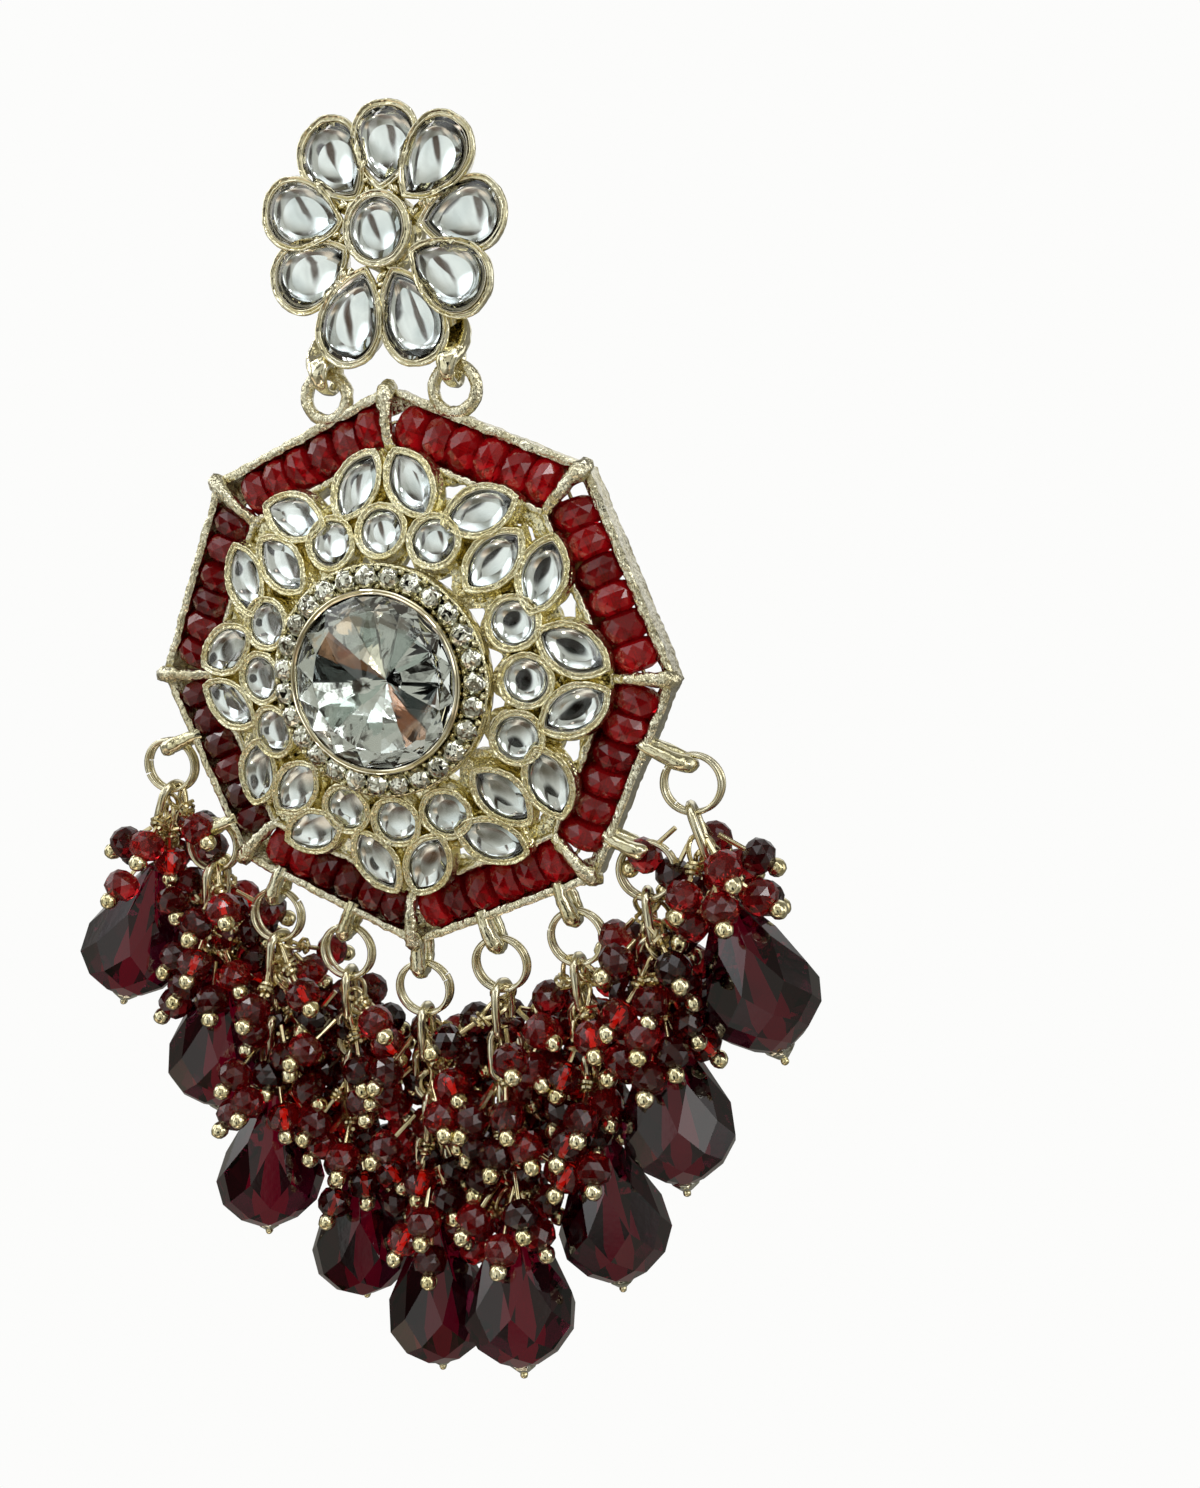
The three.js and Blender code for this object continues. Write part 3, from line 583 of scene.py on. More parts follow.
def studioWorld():
    # a pale room: soft windows round the earring, with darker stretches that give glass and metal contrast
    world = bpy.data.worlds.new("softStudio")
    bpy.context.scene.world = world
    world.use_nodes = True
    tree = world.node_tree
    shade = tree.nodes["Background"]
    direction = addNode(tree, "ShaderNodeTexCoord").outputs["Generated"]
    facing = addNode(tree, "ShaderNodeVectorMath", {"operation": "DOT_PRODUCT", 1: Vector((0, -1, 0))},
                     {0: direction})
    depth = addNode(tree, "ShaderNodeMapRange", {"From Min": -1.0, "From Max": 1.0},
                    {"Value": facing.outputs["Value"]})
    blotch = addNode(tree, "ShaderNodeTexNoise", {"Scale": 2.4, "Detail": 1.0}, {"Vector": direction})
    uneven = addNode(tree, "ShaderNodeMath", {"operation": "MULTIPLY_ADD", 1: 0.3, 2: -0.15},
                     {0: blotch.outputs["Fac"]})
    level = addNode(tree, "ShaderNodeMath", {"operation": "ADD"},
                    {0: depth.outputs["Result"], 1: uneven.outputs["Value"]})
    room = addNode(tree, "ShaderNodeValToRGB", None, {"Fac": level.outputs["Value"]})
    rampStops(room, studio["room"])
    total = room.outputs["Color"]

    apart = addNode(tree, "ShaderNodeSeparateXYZ", None, {0: direction})
    ahead = addNode(tree, "ShaderNodeMath", {"operation": "MULTIPLY", 1: -1.0}, {0: apart.outputs["Y"]})
    around = addNode(tree, "ShaderNodeMath", {"operation": "ARCTAN2"},
                     {0: apart.outputs["X"], 1: ahead.outputs[0]})
    rise = addNode(tree, "ShaderNodeMath", {"operation": "ARCSINE"}, {0: apart.outputs["Z"]})
    bearing = addNode(tree, "ShaderNodeCombineXYZ", None, {"X": around.outputs[0], "Y": rise.outputs[0]})

    def patch(azimuth, lift, width, high, tilt, softness):
        # 1 inside a tilted ellipse, fading out at its edge
        place = addNode(tree, "ShaderNodeMapping", {
            "vector_type": "TEXTURE", "Location": (math.radians(azimuth), math.radians(lift), 0),
            "Rotation": (0, 0, math.radians(tilt)), "Scale": (math.radians(width), math.radians(high), 1)},
            {"Vector": bearing.outputs["Vector"]})
        reach = addNode(tree, "ShaderNodeVectorMath", {"operation": "LENGTH"}, {0: place.outputs["Vector"]})
        return addNode(tree, "ShaderNodeMapRange", {
            "interpolation_type": "SMOOTHSTEP", "From Min": 1 + softness, "From Max": 1 - softness},
            {"Value": reach.outputs["Value"]}).outputs["Result"]

    for *ellipse, colour, brightness in studio["windows"]:
        light = [v * brightness for v in linear(colour)[:3]]
        glow = addNode(tree, "ShaderNodeVectorMath", {"operation": "SCALE", 0: light},
                       {"Scale": patch(*ellipse)})
        total = addNode(tree, "ShaderNodeVectorMath", {"operation": "ADD"},
                        {0: total, 1: glow.outputs["Vector"]}).outputs["Vector"]
    for *ellipse, colour in studio["shades"]:
        dimmed = addNode(tree, "ShaderNodeVectorMath", {"operation": "MULTIPLY", 1: linear(colour)[:3]},
                         {0: total})
        total = addNode(tree, "ShaderNodeMix", {"data_type": "VECTOR"},
                        {0: patch(*ellipse), 4: total, 5: dimmed.outputs["Vector"]}).outputs[1]
    seen = addNode(tree, "ShaderNodeLightPath")
    final = addNode(tree, "ShaderNodeMix", {"data_type": "RGBA", 7: linear(studio["backdrop"])},
                    {0: seen.outputs["Is Camera Ray"], 6: total})
    tree.links.new(final.outputs[2], shade.inputs["Color"])
    shade.inputs["Strength"].default_value = 1.0


placeCamera()
layFloor()
studioWorld()
lightPanel("windowPanel", (-260, -330, 190), (160, 200), 0.5, "#FFFFFF")
lightPanel("fillPanel", (330, -180, 60), (120, 200), 0.2, "#FFF4E8")
lightPanel("topPanel", (0, 40, 380), (300, 300), 0.4, "#F4F8FF")
bpy.context.scene.view_settings.view_transform = "Standard"
print("stage set")


# flower stud

flower = {
    "back": -0.9, "top": -3.5, "cup": 2.7, "cupRaise": 0.3, "rim": 0.5, "stoneCrown": 0.8, "stoneInset": 0.3,
    "web": 2.95, "grains": 16, "overlap": 0.18, "shift": (0.3, 0.0, -0.5),
    # where the filling between two petals starts; a few hollows round the middle cup stay open
    "fillFrom": 2.9, "open": {2: 4.8, 3: 4.2, 5: 4.0},
    # petals listed one by one, clockwise from the top: turned (degrees), middle, length, width
    "petals": [(-8, 6.15, 6.2, 5.4), (-7, 6.75, 6.9, 5.3), (-7, 7.1, 6.9, 5.4), (-3, 6.95, 7.2, 5.5),
               (0, 7.0, 7.6, 5.4), (-2, 6.9, 7.5, 5.4), (-6, 6.65, 7.0, 5.3), (-4, 6.6, 6.9, 5.3),
               (-7, 6.3, 6.6, 5.4)],
}
flowerPlace = Matrix.Translation(flower["shift"])
towardFlower = Matrix.Translation((0, flower["back"], 0)) @ towardFront


def petalLift(index):     # neighbours overlap a little
    return Matrix.Translation((0, 0, flower["overlap"] * (index % 2)))


def petalTurn(index):
    even = math.pi / 2 - 2 * math.pi * index / len(flower["petals"])
    return even + math.radians(flower["petals"][index][0])


def petalOutline(index, count):
    turn, middle, length, width = flower["petals"][index]
    return pearOutline(length, width, middle, 0.3, count)


def cupRows(height, rim, flange=0.0):
    # from the back: over a flange if there is one, up the wall, over a wide rounded rim and down to the seat
    if flange:
        rows = [(-0.2, -0.9), (0.0, -0.9), (flange * 0.6, -0.4), (flange, height - 1.1),
                (flange * 0.9, height - 0.85), (flange * 0.55, height - 0.6), (0.2, height - 0.45)]
    else:
        rows = [(-0.85, 0.0), (-0.72, height * 0.06), (-0.45, height * 0.3), (-0.12, height * 0.55),
                (0.05, height * 0.72), (0.1, height - 0.5)]
    # two fine ridges with a groove between them
    ridges = [(0.0, -0.3), (0.0, -0.1), (0.1, 0.03), (0.26, 0.03), (0.38, -0.1), (0.54, -0.12),
              (0.64, -0.03), (0.82, -0.03), (0.96, -0.16), (1.0, -0.34)]
    rows += [(0.2 - rim * share, height + up) for share, up in ridges]
    return rows + [(0.18 - rim, height - 0.62), (0.1 - rim, height - 1.15)]


def makeFlower():
    high = flower["back"] - flower["top"]
    count = len(flower["petals"])
    piece = newPiece()
    back = flowerPlace @ Matrix.Translation((0, flower["back"], 0))
    for i in range(count):
        cup = milled(raised(petalOutline(i, 72), cupRows(high, flower["rim"])), high - 0.25, 0.02)
        rough(cup, 0.05, 0.45, seed=i * 3.7)
        rough(cup, 0.1, 1.6, seed=i * 2.9)
        place = flowerPlace @ onAxis(petalTurn(i), towardFlower @ petalLift(i))
        addShape(piece, cup, place, crease["casting"])
    centreRows = cupRows(high + flower["cupRaise"], 0.6)
    centre = milled(raised(roundOutline(flower["cup"], 60), centreRows), high, 0.03)
    rough(centre, 0.06, 0.5, seed=50)
    addShape(piece, centre, back @ towardFront, crease["casting"])
    web = raised(roundOutline(flower["web"], 60), [(0, 0), (0, 1.0), (-0.2, 1.35), (-0.9, 1.6)])
    rough(web, 0.16, 0.6, seed=9)
    addShape(piece, web, back @ towardFront)
    grain = makeMould(smoothed(ball(1.0, 5, 7)))
    lifts = (1.2, 1.7, 1.9, 1.9, 1.7, 1.3)
    for i in range(count):
        after = petalTurn((i + 1) % count) - (2 * math.pi if i == count - 1 else 0)
        between = flowerPlace @ onAxis(0.5 * (petalTurn(i) + after), asMade)
        start = flower["open"].get(i, flower["fillFrom"])
        reaches = [start + (7.5 - start) * share for share in (0, 0.28, 0.5, 0.7, 0.87, 1)]
        path = [Vector((reach, flower["back"] - lift, 0)) for reach, lift in zip(reaches, lifts)]
        points, widths = rounded(path, [0.5, 0.6, 0.74, 0.8, 0.75, 0.5], 4)
        filler = tube(points, widths, sides=12, flatWay=Vector((0, 1, 0)))
        rough(filler, 0.22, 0.5, seed=i * 1.7 + 60)
        addShape(piece, filler, between, crease["casting"])
        for step in range(flower["grains"]):
            reach = chance.uniform(start, 6.8)
            spot = Vector((reach, flower["back"] - chance.uniform(2.2, 2.6), chance.uniform(-0.3, 0.3)))
            turn = Matrix.Rotation(chance.uniform(0, 3), 4, "Y") @ Matrix.Diagonal((1.6, 0.8, 0.9, 1))
            place = Matrix.Translation(spot) @ turn @ Matrix.Scale(chance.uniform(0.14, 0.3), 4)
            stamp(piece, grain, between @ place)
    for side in (-1, 1):
        makeFinger(piece, side)
    finishPiece(piece, "flowerCasting", "stud", [flowerMetal], ["stud_frame"])


hinge = {"x": 5.7, "y": 0.5, "z": 24.75}     # where a finger carries a loop, in the pendant's frame
finger = {
    "sides": 16, "steps": 4, "squash": 0.62, "hollow": 1.0, "hollowRows": 5,
    "path": [(4.2, 1.9, 30.8), (4.7, 1.7, 29.4), (5.2, 1.4, 28.1), (5.6, 0.9, 27.0), (5.75, 0.0, 25.9),
             (5.65, -0.8, 24.9), (5.6, -0.8, 24.0), (5.6, -0.1, 23.45), (5.6, 0.7, 23.3), (5.6, 1.5, 23.6),
             (5.55, 2.0, 24.6), (5.4, 2.0, 26.2), (5.0, 1.6, 28.2), (4.8, 1.2, 29.6)],
    "radii": [1.1, 1.25, 1.4, 1.5, 1.35, 0.95, 0.62, 0.52, 0.5, 0.5, 0.55, 0.7, 0.9, 0.9],
}


def makeFinger(piece, side):
    # a scooped leaf from under the petals that curls back beneath the pendant's loop and up again
    path = [Vector((side * x, y, z)) for x, y, z in finger["path"]]
    points, radii = rounded(path, finger["radii"], finger["steps"])
    horn = tube(points, radii, sides=finger["sides"], squash=finger["squash"], flatWay=Vector((1, 0, 0)))
    order = horn.verts.layers.int["order"]
    for k, vert in enumerate(horn.verts):     # the hollow down the leaf's face
        a = 2 * math.pi * (vert[order] + 0.5) / finger["sides"]
        along = k // finger["sides"] / finger["steps"]
        if math.sin(a) > 0 and along < finger["hollowRows"]:
            deep = min(1.0, along) * min(1.0, (finger["hollowRows"] - along) / 1.5)
            vert.co.y += finger["hollow"] * deep * math.exp(-(math.cos(a) / 0.5) ** 2)
    rough(horn, 0.1, 0.8, seed=side * 5.0)
    addShape(piece, horn, pendantPlace, crease["bar"])


def rounded(points, radii, steps):     # a smooth curve through a few points
    fine, fineRadii = [], []
    for i in range(len(points) - 1):
        a, b, c, d = (points[max(0, min(len(points) - 1, i + k))] for k in (-1, 0, 1, 2))
        for j in range(steps):
            t = j / steps
            fine.append(0.5 * (2 * b + (c - a) * t + (2 * a - 5 * b + 4 * c - d) * t ** 2
                               + (3 * b - a - 3 * c + d) * t ** 3))
            fineRadii.append(radii[i] + (radii[i + 1] - radii[i]) * t)
    return fine + [points[-1]], fineRadii + [radii[-1]]


setting = {"foot": 0.34, "lift": 0.17, "border": 0.78, "lean": 0.07}     # of a stone in its cup


def stoneInCup(outline, crown, inset, slant, levels=6):
    # glass (material 0) that fills its cup; behind it a dish of silver foil with a sloping border and a
    # flat table (1), in a pale seat that turns up at the edge (2)
    def inner(offset):
        return outline(offset - inset)

    piece = newPiece()
    glass = dome(inner, crown, levels, foot=setting["foot"], slant=slant * 0.35)
    addShape(piece, glass, Matrix.Translation((0, 0, setting["lift"])), crease["glass"])
    seatRows = [(-slant, -0.44), (0.0, 0.1), (0.05, 0.5), (0.02, 0.52), (-0.02, 0.14), (-slant * 0.4, 0.08),
                (-slant * 0.55, -0.34)]
    edge, border = slant * 0.45, setting["border"]
    foilRows = [(-edge - 0.04, -0.3), (-edge, 0.13), (-edge - border * 0.55, -0.06), (-edge - border, -0.2)]
    leanU, leanV = (chance.uniform(-setting["lean"], setting["lean"]) for way in "uv")
    for rows, material, sharpAngle in ((seatRows, 2, crease["bar"]), (foilRows, 1, crease["foil"])):
        sheet = raised(inner, rows)
        middle = sum((v.co for v in sheet.verts), Vector()) / len(sheet.verts)
        for vert in sheet.verts:
            vert.co.z += (vert.co.x - middle.x) * leanU + (vert.co.y - middle.y) * leanV
        addShape(piece, sheet, asMade, sharpAngle, material)
    return piece


def stampPiece(piece, part, place):     # a part that keeps its own materials and shading
    mould = makeMould(part)
    stamp(piece, mould, place)
    bpy.data.meshes.remove(mould)


def makeFlowerStones():
    high = flower["back"] - flower["top"]
    seat = Matrix.Translation((0, 0, high - 0.6))
    crown, inset = flower["stoneCrown"], flower["stoneInset"]
    materials = [stoneGlass, stoneFoil, seatMetal]
    for i in range(len(flower["petals"])):
        piece = newPiece()
        stone = stoneInCup(petalOutline(i, 44), crown, inset, 0.8, 7)
        stampPiece(piece, stone, flowerPlace @ onAxis(petalTurn(i), towardFlower @ petalLift(i) @ seat))
        finishPiece(piece, f"petalStone{i + 1}", "stud", materials, [f"petal_stone_{i + 1}"])
    piece = newPiece()
    middle = stoneInCup(roundOutline(flower["cup"], 36), crown, inset + 0.12, 0.6, 7)
    forward = Matrix.Translation((0, -flower["cupRaise"], 0))
    stampPiece(piece, middle, flowerPlace @ forward @ towardFlower @ seat)
    finishPiece(piece, "centreStone", "stud", materials, ["centre_stone"])


def makeEarPost():
    # radius and height: the pad, then the wire with a groove near its rounded end for a clutch
    rows = [(2.35, 0.6), (2.55, 0.52), (2.6, 0.3), (2.55, 0.06), (2.45, 0.0), (0.75, 0.0), (0.5, -0.15),
            (0.45, -0.5), (0.45, -8.6), (0.36, -8.8), (0.36, -9.3), (0.45, -9.5), (0.45, -10.4),
            (0.3, -10.85), (0.12, -11.0)]
    piece = newPiece()
    addShape(piece, turnedBody(rows, 28), towardFront, crease["turned"])
    finishPiece(piece, "earPost", "stud", [ringWire], ["ear_post"])


makeFlower()
makeFlowerStones()
makeEarPost()
print("flower stud made")


# pendant casting

octagon = {"outer": 23.5, "inner": 18.65, "wall": 0.52, "depth": 3.2, "innerFront": -0.3, "innerBack": 2.9,
           "lip": 0.95}
field = {"grains": 900, "rise": 0.2, "edgeFront": 0.25, "high": 1.35}
fieldTilt = math.atan(field["rise"])
roundCup = {"radius": 2.15, "ring": 11.7}
leafCup = {"length": 6.3, "width": 3.9}


def fieldFront(reach):
    return field["edgeFront"] - field["rise"] * (octagon["inner"] - reach)


def onField(reach, turn, angle):
    # stands a flat shape on the domed field, its long side turned from the radial line
    place = Matrix.Translation((reach, fieldFront(reach), 0)) @ Matrix.Rotation(fieldTilt, 4, "Z")
    return pendantPlace @ onAxis(angle, place @ Matrix.Rotation(-math.radians(turn), 4, "Y") @ towardFront)


def fieldPlaces():
    rounds, leaves = [], []
    for quarter in range(4):
        corner = quarter * math.pi / 2
        diagonal = corner + math.pi / 4
        rounds += [onField(roundCup["ring"], 0, corner + step * math.pi / 4) for step in (-0.5, 0, 0.5)]
        leaves.append(onField(13.1, 0, diagonal))
        for side in (-1, 1):
            leaves.append(onField(15.55, -37 * side, corner + side * math.radians(8.6)))
            leaves.append(onField(15.4, -40 * side, diagonal + side * math.radians(13.2)))
    return rounds, leaves


def rimBand(radius, wall, front, back, bead, lip, seed):
    # a flat band on edge whose front is an uneven, twig-like bead; a lip turns in behind the red beads
    outside, inside = max(0.0, lip), max(0.0, -lip)
    rows = [(outside, -back), (outside, -back + 0.3), (0.0, -back + 0.45), (0.0, -front - 0.6),
            (bead, -front - 0.4), (bead, -front - 0.12), (-wall * 0.3, -front), (-wall * 0.7, -front - 0.02),
            (-wall - bead, -front - 0.14), (-wall - bead, -front - 0.4), (-wall, -front - 0.6),
            (-wall, -back + 0.45), (-wall - inside, -back + 0.3), (-wall - inside, -back)]
    band = raised(octagonOutline(radius, 46), rows, around=True)
    rough(band, 0.12, 0.42, seed)
    rough(band, 0.1, 1.7, seed + 1)
    return band


def makeRims():
    outer = (octagon["outer"] - 0.1, octagon["wall"], 0.1, octagon["depth"], 0.08, -octagon["lip"], 3.0)
    inner = (octagon["inner"], octagon["wall"], octagon["innerFront"], octagon["innerBack"], 0.05,
             octagon["lip"], 11.0)
    for name, sizes, replaced in (("outerRim", outer, ["pendant_frame"]), ("innerRim", inner, [])):
        piece = newPiece()
        addShape(piece, rimBand(*sizes), pendantPlace @ towardFront, crease["bar"])
        finishPiece(piece, name, "pendant", [twigMetal], replaced)


def makeSpokes():
    # each one arches over the channel from corner to corner
    path = [(23.35, 0.9, 0), (23.3, 0.2, 0), (22.7, -0.3, 0), (21.4, -0.5, 0), (20.0, -0.4, 0),
            (18.9, 0.0, 0), (18.2, 0.5, 0)]
    radii = [0.5, 0.66, 0.72, 0.56, 0.48, 0.5, 0.6]
    piece = newPiece()
    for i in range(8):
        points, widths = rounded([Vector(p) for p in path], radii, 5)
        bar = tube(points, widths, sides=12)
        rough(bar, 0.2, 0.5, seed=i * 2.3)
        addShape(piece, bar, pendantPlace @ onAxis(i * math.pi / 4, asMade), crease["bar"])
    finishPiece(piece, "spokes", "pendant", [twigMetal])


def makeFieldCups():
    rounds, leaves = fieldPlaces()
    roundRim = roundOutline(roundCup["radius"], 60)
    leafRim = marquiseOutline(leafCup["length"], leafCup["width"], 64)
    high = field["high"]
    piece = newPiece()
    for outline, places, flange, seed in ((roundRim, rounds, 0.32, 20.0), (leafRim, leaves, 0.5, 40.0)):
        for i, place in enumerate(places):
            cup = milled(raised(outline, cupRows(high, 0.62, flange)), high - 0.25, 0.035)
            rough(cup, 0.07, 0.45, seed=seed + i * 1.9)
            rough(cup, 0.09, 1.5, seed=seed + i * 2.3)
            addShape(piece, cup, place, crease["casting"])
    finishPiece(piece, "stoneCups", "pendant", [castMetal])
    makeFieldWeb(rounds, leaves)
    makeFieldStones(rounds, leaves)


def betweenCups(angle):     # 1 midway between two neighbouring cups, 0 at the cups
    return math.exp(-((angle % (math.pi / 8) - math.pi / 16) / 0.06) ** 2)


def fromSideMiddle(angle):     # how far round from the middle of the octagon's side
    return angle % (math.pi / 4) - math.pi / 8


def piercedEdge(reach):     # the plate's inner edge, drawn outwards between the cups to leave openings
    points = []
    for a in anglesRound(240):
        stretch = reach + 0.55 * betweenCups(a) * max(0.0, 11.0 - reach)
        points.append((stretch * math.cos(a), stretch * math.sin(a)))
    return points


def scallopedEdge(offset):     # the ledge inside the rim, cut back in the middle of each side
    points = []
    for u, v in octagonOutline(octagon["inner"] - 0.5, 40)(offset):
        near = math.exp(-(fromSideMiddle(math.atan2(v, u)) / 0.1) ** 2)
        stretch = 1 - 0.9 * near * offset / math.hypot(u, v)
        points.append((u * stretch, v * stretch))
    return points


def makeFieldWeb(rounds, leaves):
    # uneven metal between the cups and grains that tie them together
    piece = newPiece()
    rows = [(8.9, -1.4), (8.9, -0.1), (11.0, 0.1), (12.4, 0.15), (13.8, 0.15), (15.2, 0.0), (15.2, -0.7)]
    plate = raised(piercedEdge, [(reach, height - fieldFront(reach)) for reach, height in rows], around=True)
    rough(plate, 0.2, 0.8, seed=71)
    addShape(piece, plate, pendantPlace @ towardFront, crease["bar"])
    rows = [(0.05, -0.6), (0.05, 0.3), (-0.6, 0.42), (-1.25, 0.25), (-1.35, -0.6)]
    front = octagon["innerFront"]
    ledge = raised(scallopedEdge, [(offset, height - front - 0.75) for offset, height in rows], around=True)
    rough(ledge, 0.22, 0.6, seed=83)
    addShape(piece, ledge, pendantPlace @ towardFront, crease["bar"])
    grain = makeMould(smoothed(ball(1.0, 5, 7)))
    cups = [(place.inverted(), (1.95, 1.95)) for place in rounds]
    leafHalf = (leafCup["length"] / 2 - 0.2, leafCup["width"] / 2 - 0.1)
    cups += [(place.inverted(), leafHalf) for place in leaves]
    for i in range(field["grains"]):
        angle = 2 * math.pi * (i + 0.6 * chance.random()) / field["grains"]
        reach = chance.uniform(9.3, 16.9)
        inRimOpening = reach > 15 and abs(fromSideMiddle(angle)) < 0.12
        inInnerOpening = reach < 10.9 and betweenCups(angle) > 0.2
        if inRimOpening or inInnerOpening:
            continue     # the openings stay open
        spot = Vector((reach, fieldFront(reach) - 0.15 - 0.35 * chance.random(), 0))
        size = Matrix.Scale(0.16 + 0.2 * chance.random(), 4)
        place = pendantPlace @ onAxis(angle, Matrix.Translation(spot) @ size)
        local = [(inverse @ place.translation, half) for inverse, half in cups]
        if all((at.x / half[0]) ** 2 + (at.y / half[1]) ** 2 > 1 for at, half in local):
            stamp(piece, grain, place)
    finishPiece(piece, "fieldWeb", "pendant", [castMetal])


def makeFieldStones(rounds, leaves):
    for name, outline, places in (
            ("roundStones", roundOutline(roundCup["radius"], 34), rounds),
            ("marquiseStones", marquiseOutline(leafCup["length"], leafCup["width"], 36), leaves)):
        piece = newPiece()
        for place in places:
            stone = stoneInCup(outline, 0.55, 0.4, 0.4)
            stampPiece(piece, stone, place @ Matrix.Translation((0, 0, field["high"] - 0.68)))
        finishPiece(piece, name, "pendant", [stoneGlass, stoneFoil, seatMetal])


def makeTopLoops():
    loop = {"radius": 1.85, "wire": 0.55, "steps": 30}
    piece = newPiece()
    for side in (-1, 1):
        path = [ringPoint(loop["radius"], a) for a in anglesRound(loop["steps"])]
        radii = [loop["wire"] * (0.93 + 0.1 * chance.random()) for point in path]
        ring = tube(path, radii, sides=9, closed=True)
        rough(ring, 0.09, 0.5, seed=side * 3.0)
        place = Matrix.Translation((side * hinge["x"], hinge["y"], hinge["z"] - loop["radius"]))
        addShape(piece, ring, pendantPlace @ place, crease["bar"])
    finishPiece(piece, "topLoops", "pendant", [twigMetal])


makeRims()
makeSpokes()
makeFieldCups()
makeTopLoops()
print("pendant casting made")


# crystal in its setting

crystal = {"radius": 6.95, "girdle": 4.75, "front": 6.6, "back": 1.75, "edge": 0.4, "fold": 16,
           # the painted reflection on each of the star's facets, as a place on the foil's colour ramp,
           # anticlockwise from +X
           "paintedLightTones": (0.1, 0.4, 0.2, 0.9, 0.45, 0.1, 0.66, 0.75, 0.1, 0.45, 0.9, 0.2, 0.1, 0.66, 0.1, 0.4)}


def makeCrystal():
    r, g, half = crystal["radius"], crystal["girdle"], crystal["edge"] / 2
    front = crystal["front"]
    crown, deep = front - g - half, g - half - crystal["back"]
    levels = [(0, front, 0), (r * 0.45, g + half + crown * 0.58, 0.5), (r * 0.8, g + half + crown * 0.235, 0),
              (r, g + half, 0.5), (r, g - half, 0.5), (r * 0.8, crystal["back"] + deep * 0.7, 0),
              (0, crystal["back"] + 0.05, 0)]
    piece = newPiece()
    stampPiece(piece, cutStone(levels, crystal["fold"], merge=1.0), pendantPlace @ towardFront)
    finishPiece(piece, "centreCrystal", "pendant", [crystalGlass], ["centre_crystal"])
    # its silvered back is a thin faceted cup just behind the glass
    shell = [(0.02, crystal["back"] - 0.02), (r * 0.8 + 0.03, crystal["back"] + deep * 0.7 - 0.03),
             (r + 0.03, g - half), (r + 0.1, g - half - 0.15),
             (r * 0.8 + 0.03, crystal["back"] + deep * 0.7 - 0.25), (0.02, crystal["back"] - 0.2)]
    cup = turnedBody(shell, crystal["fold"], [0, 0, 0.5, 0.5, 0, 0])
    for vert in cup.verts:     # foil never lies quite flat
        vert.co += noise.noise_vector(vert.co / 2.3) * 0.12
    bmesh.ops.triangulate(cup, faces=cup.faces)
    piece = newPiece()
    stampPiece(piece, cup, pendantPlace @ towardFront)
    layer = piece.faces.layers.float["tone"]
    piece.verts.index_update()     # faces come in no fixed order, so they are taken by their corners
    inOrder = sorted(piece.faces, key=lambda face: sorted(vert.index for vert in face.verts))
    for face in inOrder:     # painted reflections: strong contrasts in the star, the border of small facets all pale
        at = face.calc_center_median() - pendantAt
        if math.hypot(at.x, at.z) < r * 0.72:
            face[layer] = crystal["paintedLightTones"][int(math.atan2(at.z, at.x) / math.pi * 8 + 16.01) % 16]
        else:
            face[layer] = 0.3 * chance.random()
    finishPiece(piece, "crystalFoil", "pendant", [crystalFoil])


def makeCrystalSetting():
    # turned bezel with a bright lip, a step outside it for the small stones, and a plain back
    rows = [(0.4, 0.6), (5.0, 0.55), (8.0, 1.5), (8.0, 2.3), (9.25, 2.35), (9.42, 2.7), (9.46, 3.6),
            (9.4, 3.95), (9.22, 4.02), (9.05, 3.86), (7.8, 3.95), (7.42, 4.2), (7.4, 4.6), (7.44, 4.85),
            (7.42, 4.98), (7.34, 5.04), (7.27, 4.98), (7.24, 4.93), (7.18, 4.99), (7.1, 5.05), (7.02, 5.0),
            (6.98, 4.9), (7.0, 4.4), (6.97, 4.0), (0.4, 1.2)]
    body = turnedBody(rows, 96)
    rough(body, 0.03, 0.8, seed=5)
    piece = newPiece()
    addShape(piece, body, pendantPlace @ towardFront, crease["turned"])
    finishPiece(piece, "crystalBezel", "pendant", [bezelMetal], ["crystal_setting"])


def makePave():
    pave = {"count": 27, "ring": 8.33, "height": 4.0, "lean": 0.25, "wireRing": 9.3, "wire": 0.16}
    rows = [(0.42, 0.7, 0), (0.76, 0.46, 0.5), (0.95, 0.16, 0), (0.95, 0, 0), (0.2, -0.5, 0)]
    stone = makeMould(cutStone(rows, 8, merge=2.0))
    grain = makeMould(smoothed(ball(1.0, 5, 7)))
    stones, grains = newPiece(), newPiece()
    for angle in anglesRound(pave["count"]):
        leanX, leanY = (chance.uniform(-pave["lean"], pave["lean"]) for way in "xy")
        tip = Matrix.Rotation(leanX, 4, "X") @ Matrix.Rotation(leanY, 4, "Y")
        spot = Matrix.Translation((pave["ring"], -pave["height"] - 0.1, 0))
        place = onAxis(angle, spot @ towardFront @ tip @ Matrix.Scale(chance.uniform(1.06, 1.16), 4))
        stamp(stones, stone, pendantPlace @ place, chance.random())
        for reach, size in ((7.6, 0.22), (9.1, 0.26)):
            between = angle + math.pi / pave["count"]
            spot = Matrix.Translation((reach, -pave["height"] - 0.28, 0))
            stamp(grains, grain, pendantPlace @ onAxis(between, spot @ Matrix.Scale(size, 4)))
    path = [ringPoint(pave["wireRing"], a, -4.02) for a in anglesRound(90)]
    wire = tube(path, pave["wire"], sides=6, closed=True)
    rough(wire, 0.04, 0.5, seed=8)
    addShape(grains, wire, pendantPlace, crease["bar"])
    finishPiece(stones, "paveStones", "pendant", [smokyChaton])
    finishPiece(grains, "paveGrains", "pendant", [castMetal])


makeCrystal()
makeCrystalSetting()
makePave()
print("crystal set")


# red rondelles in the rim's channels

rondelle = {"radius": 2.02, "half": 1.28, "sides": 10}


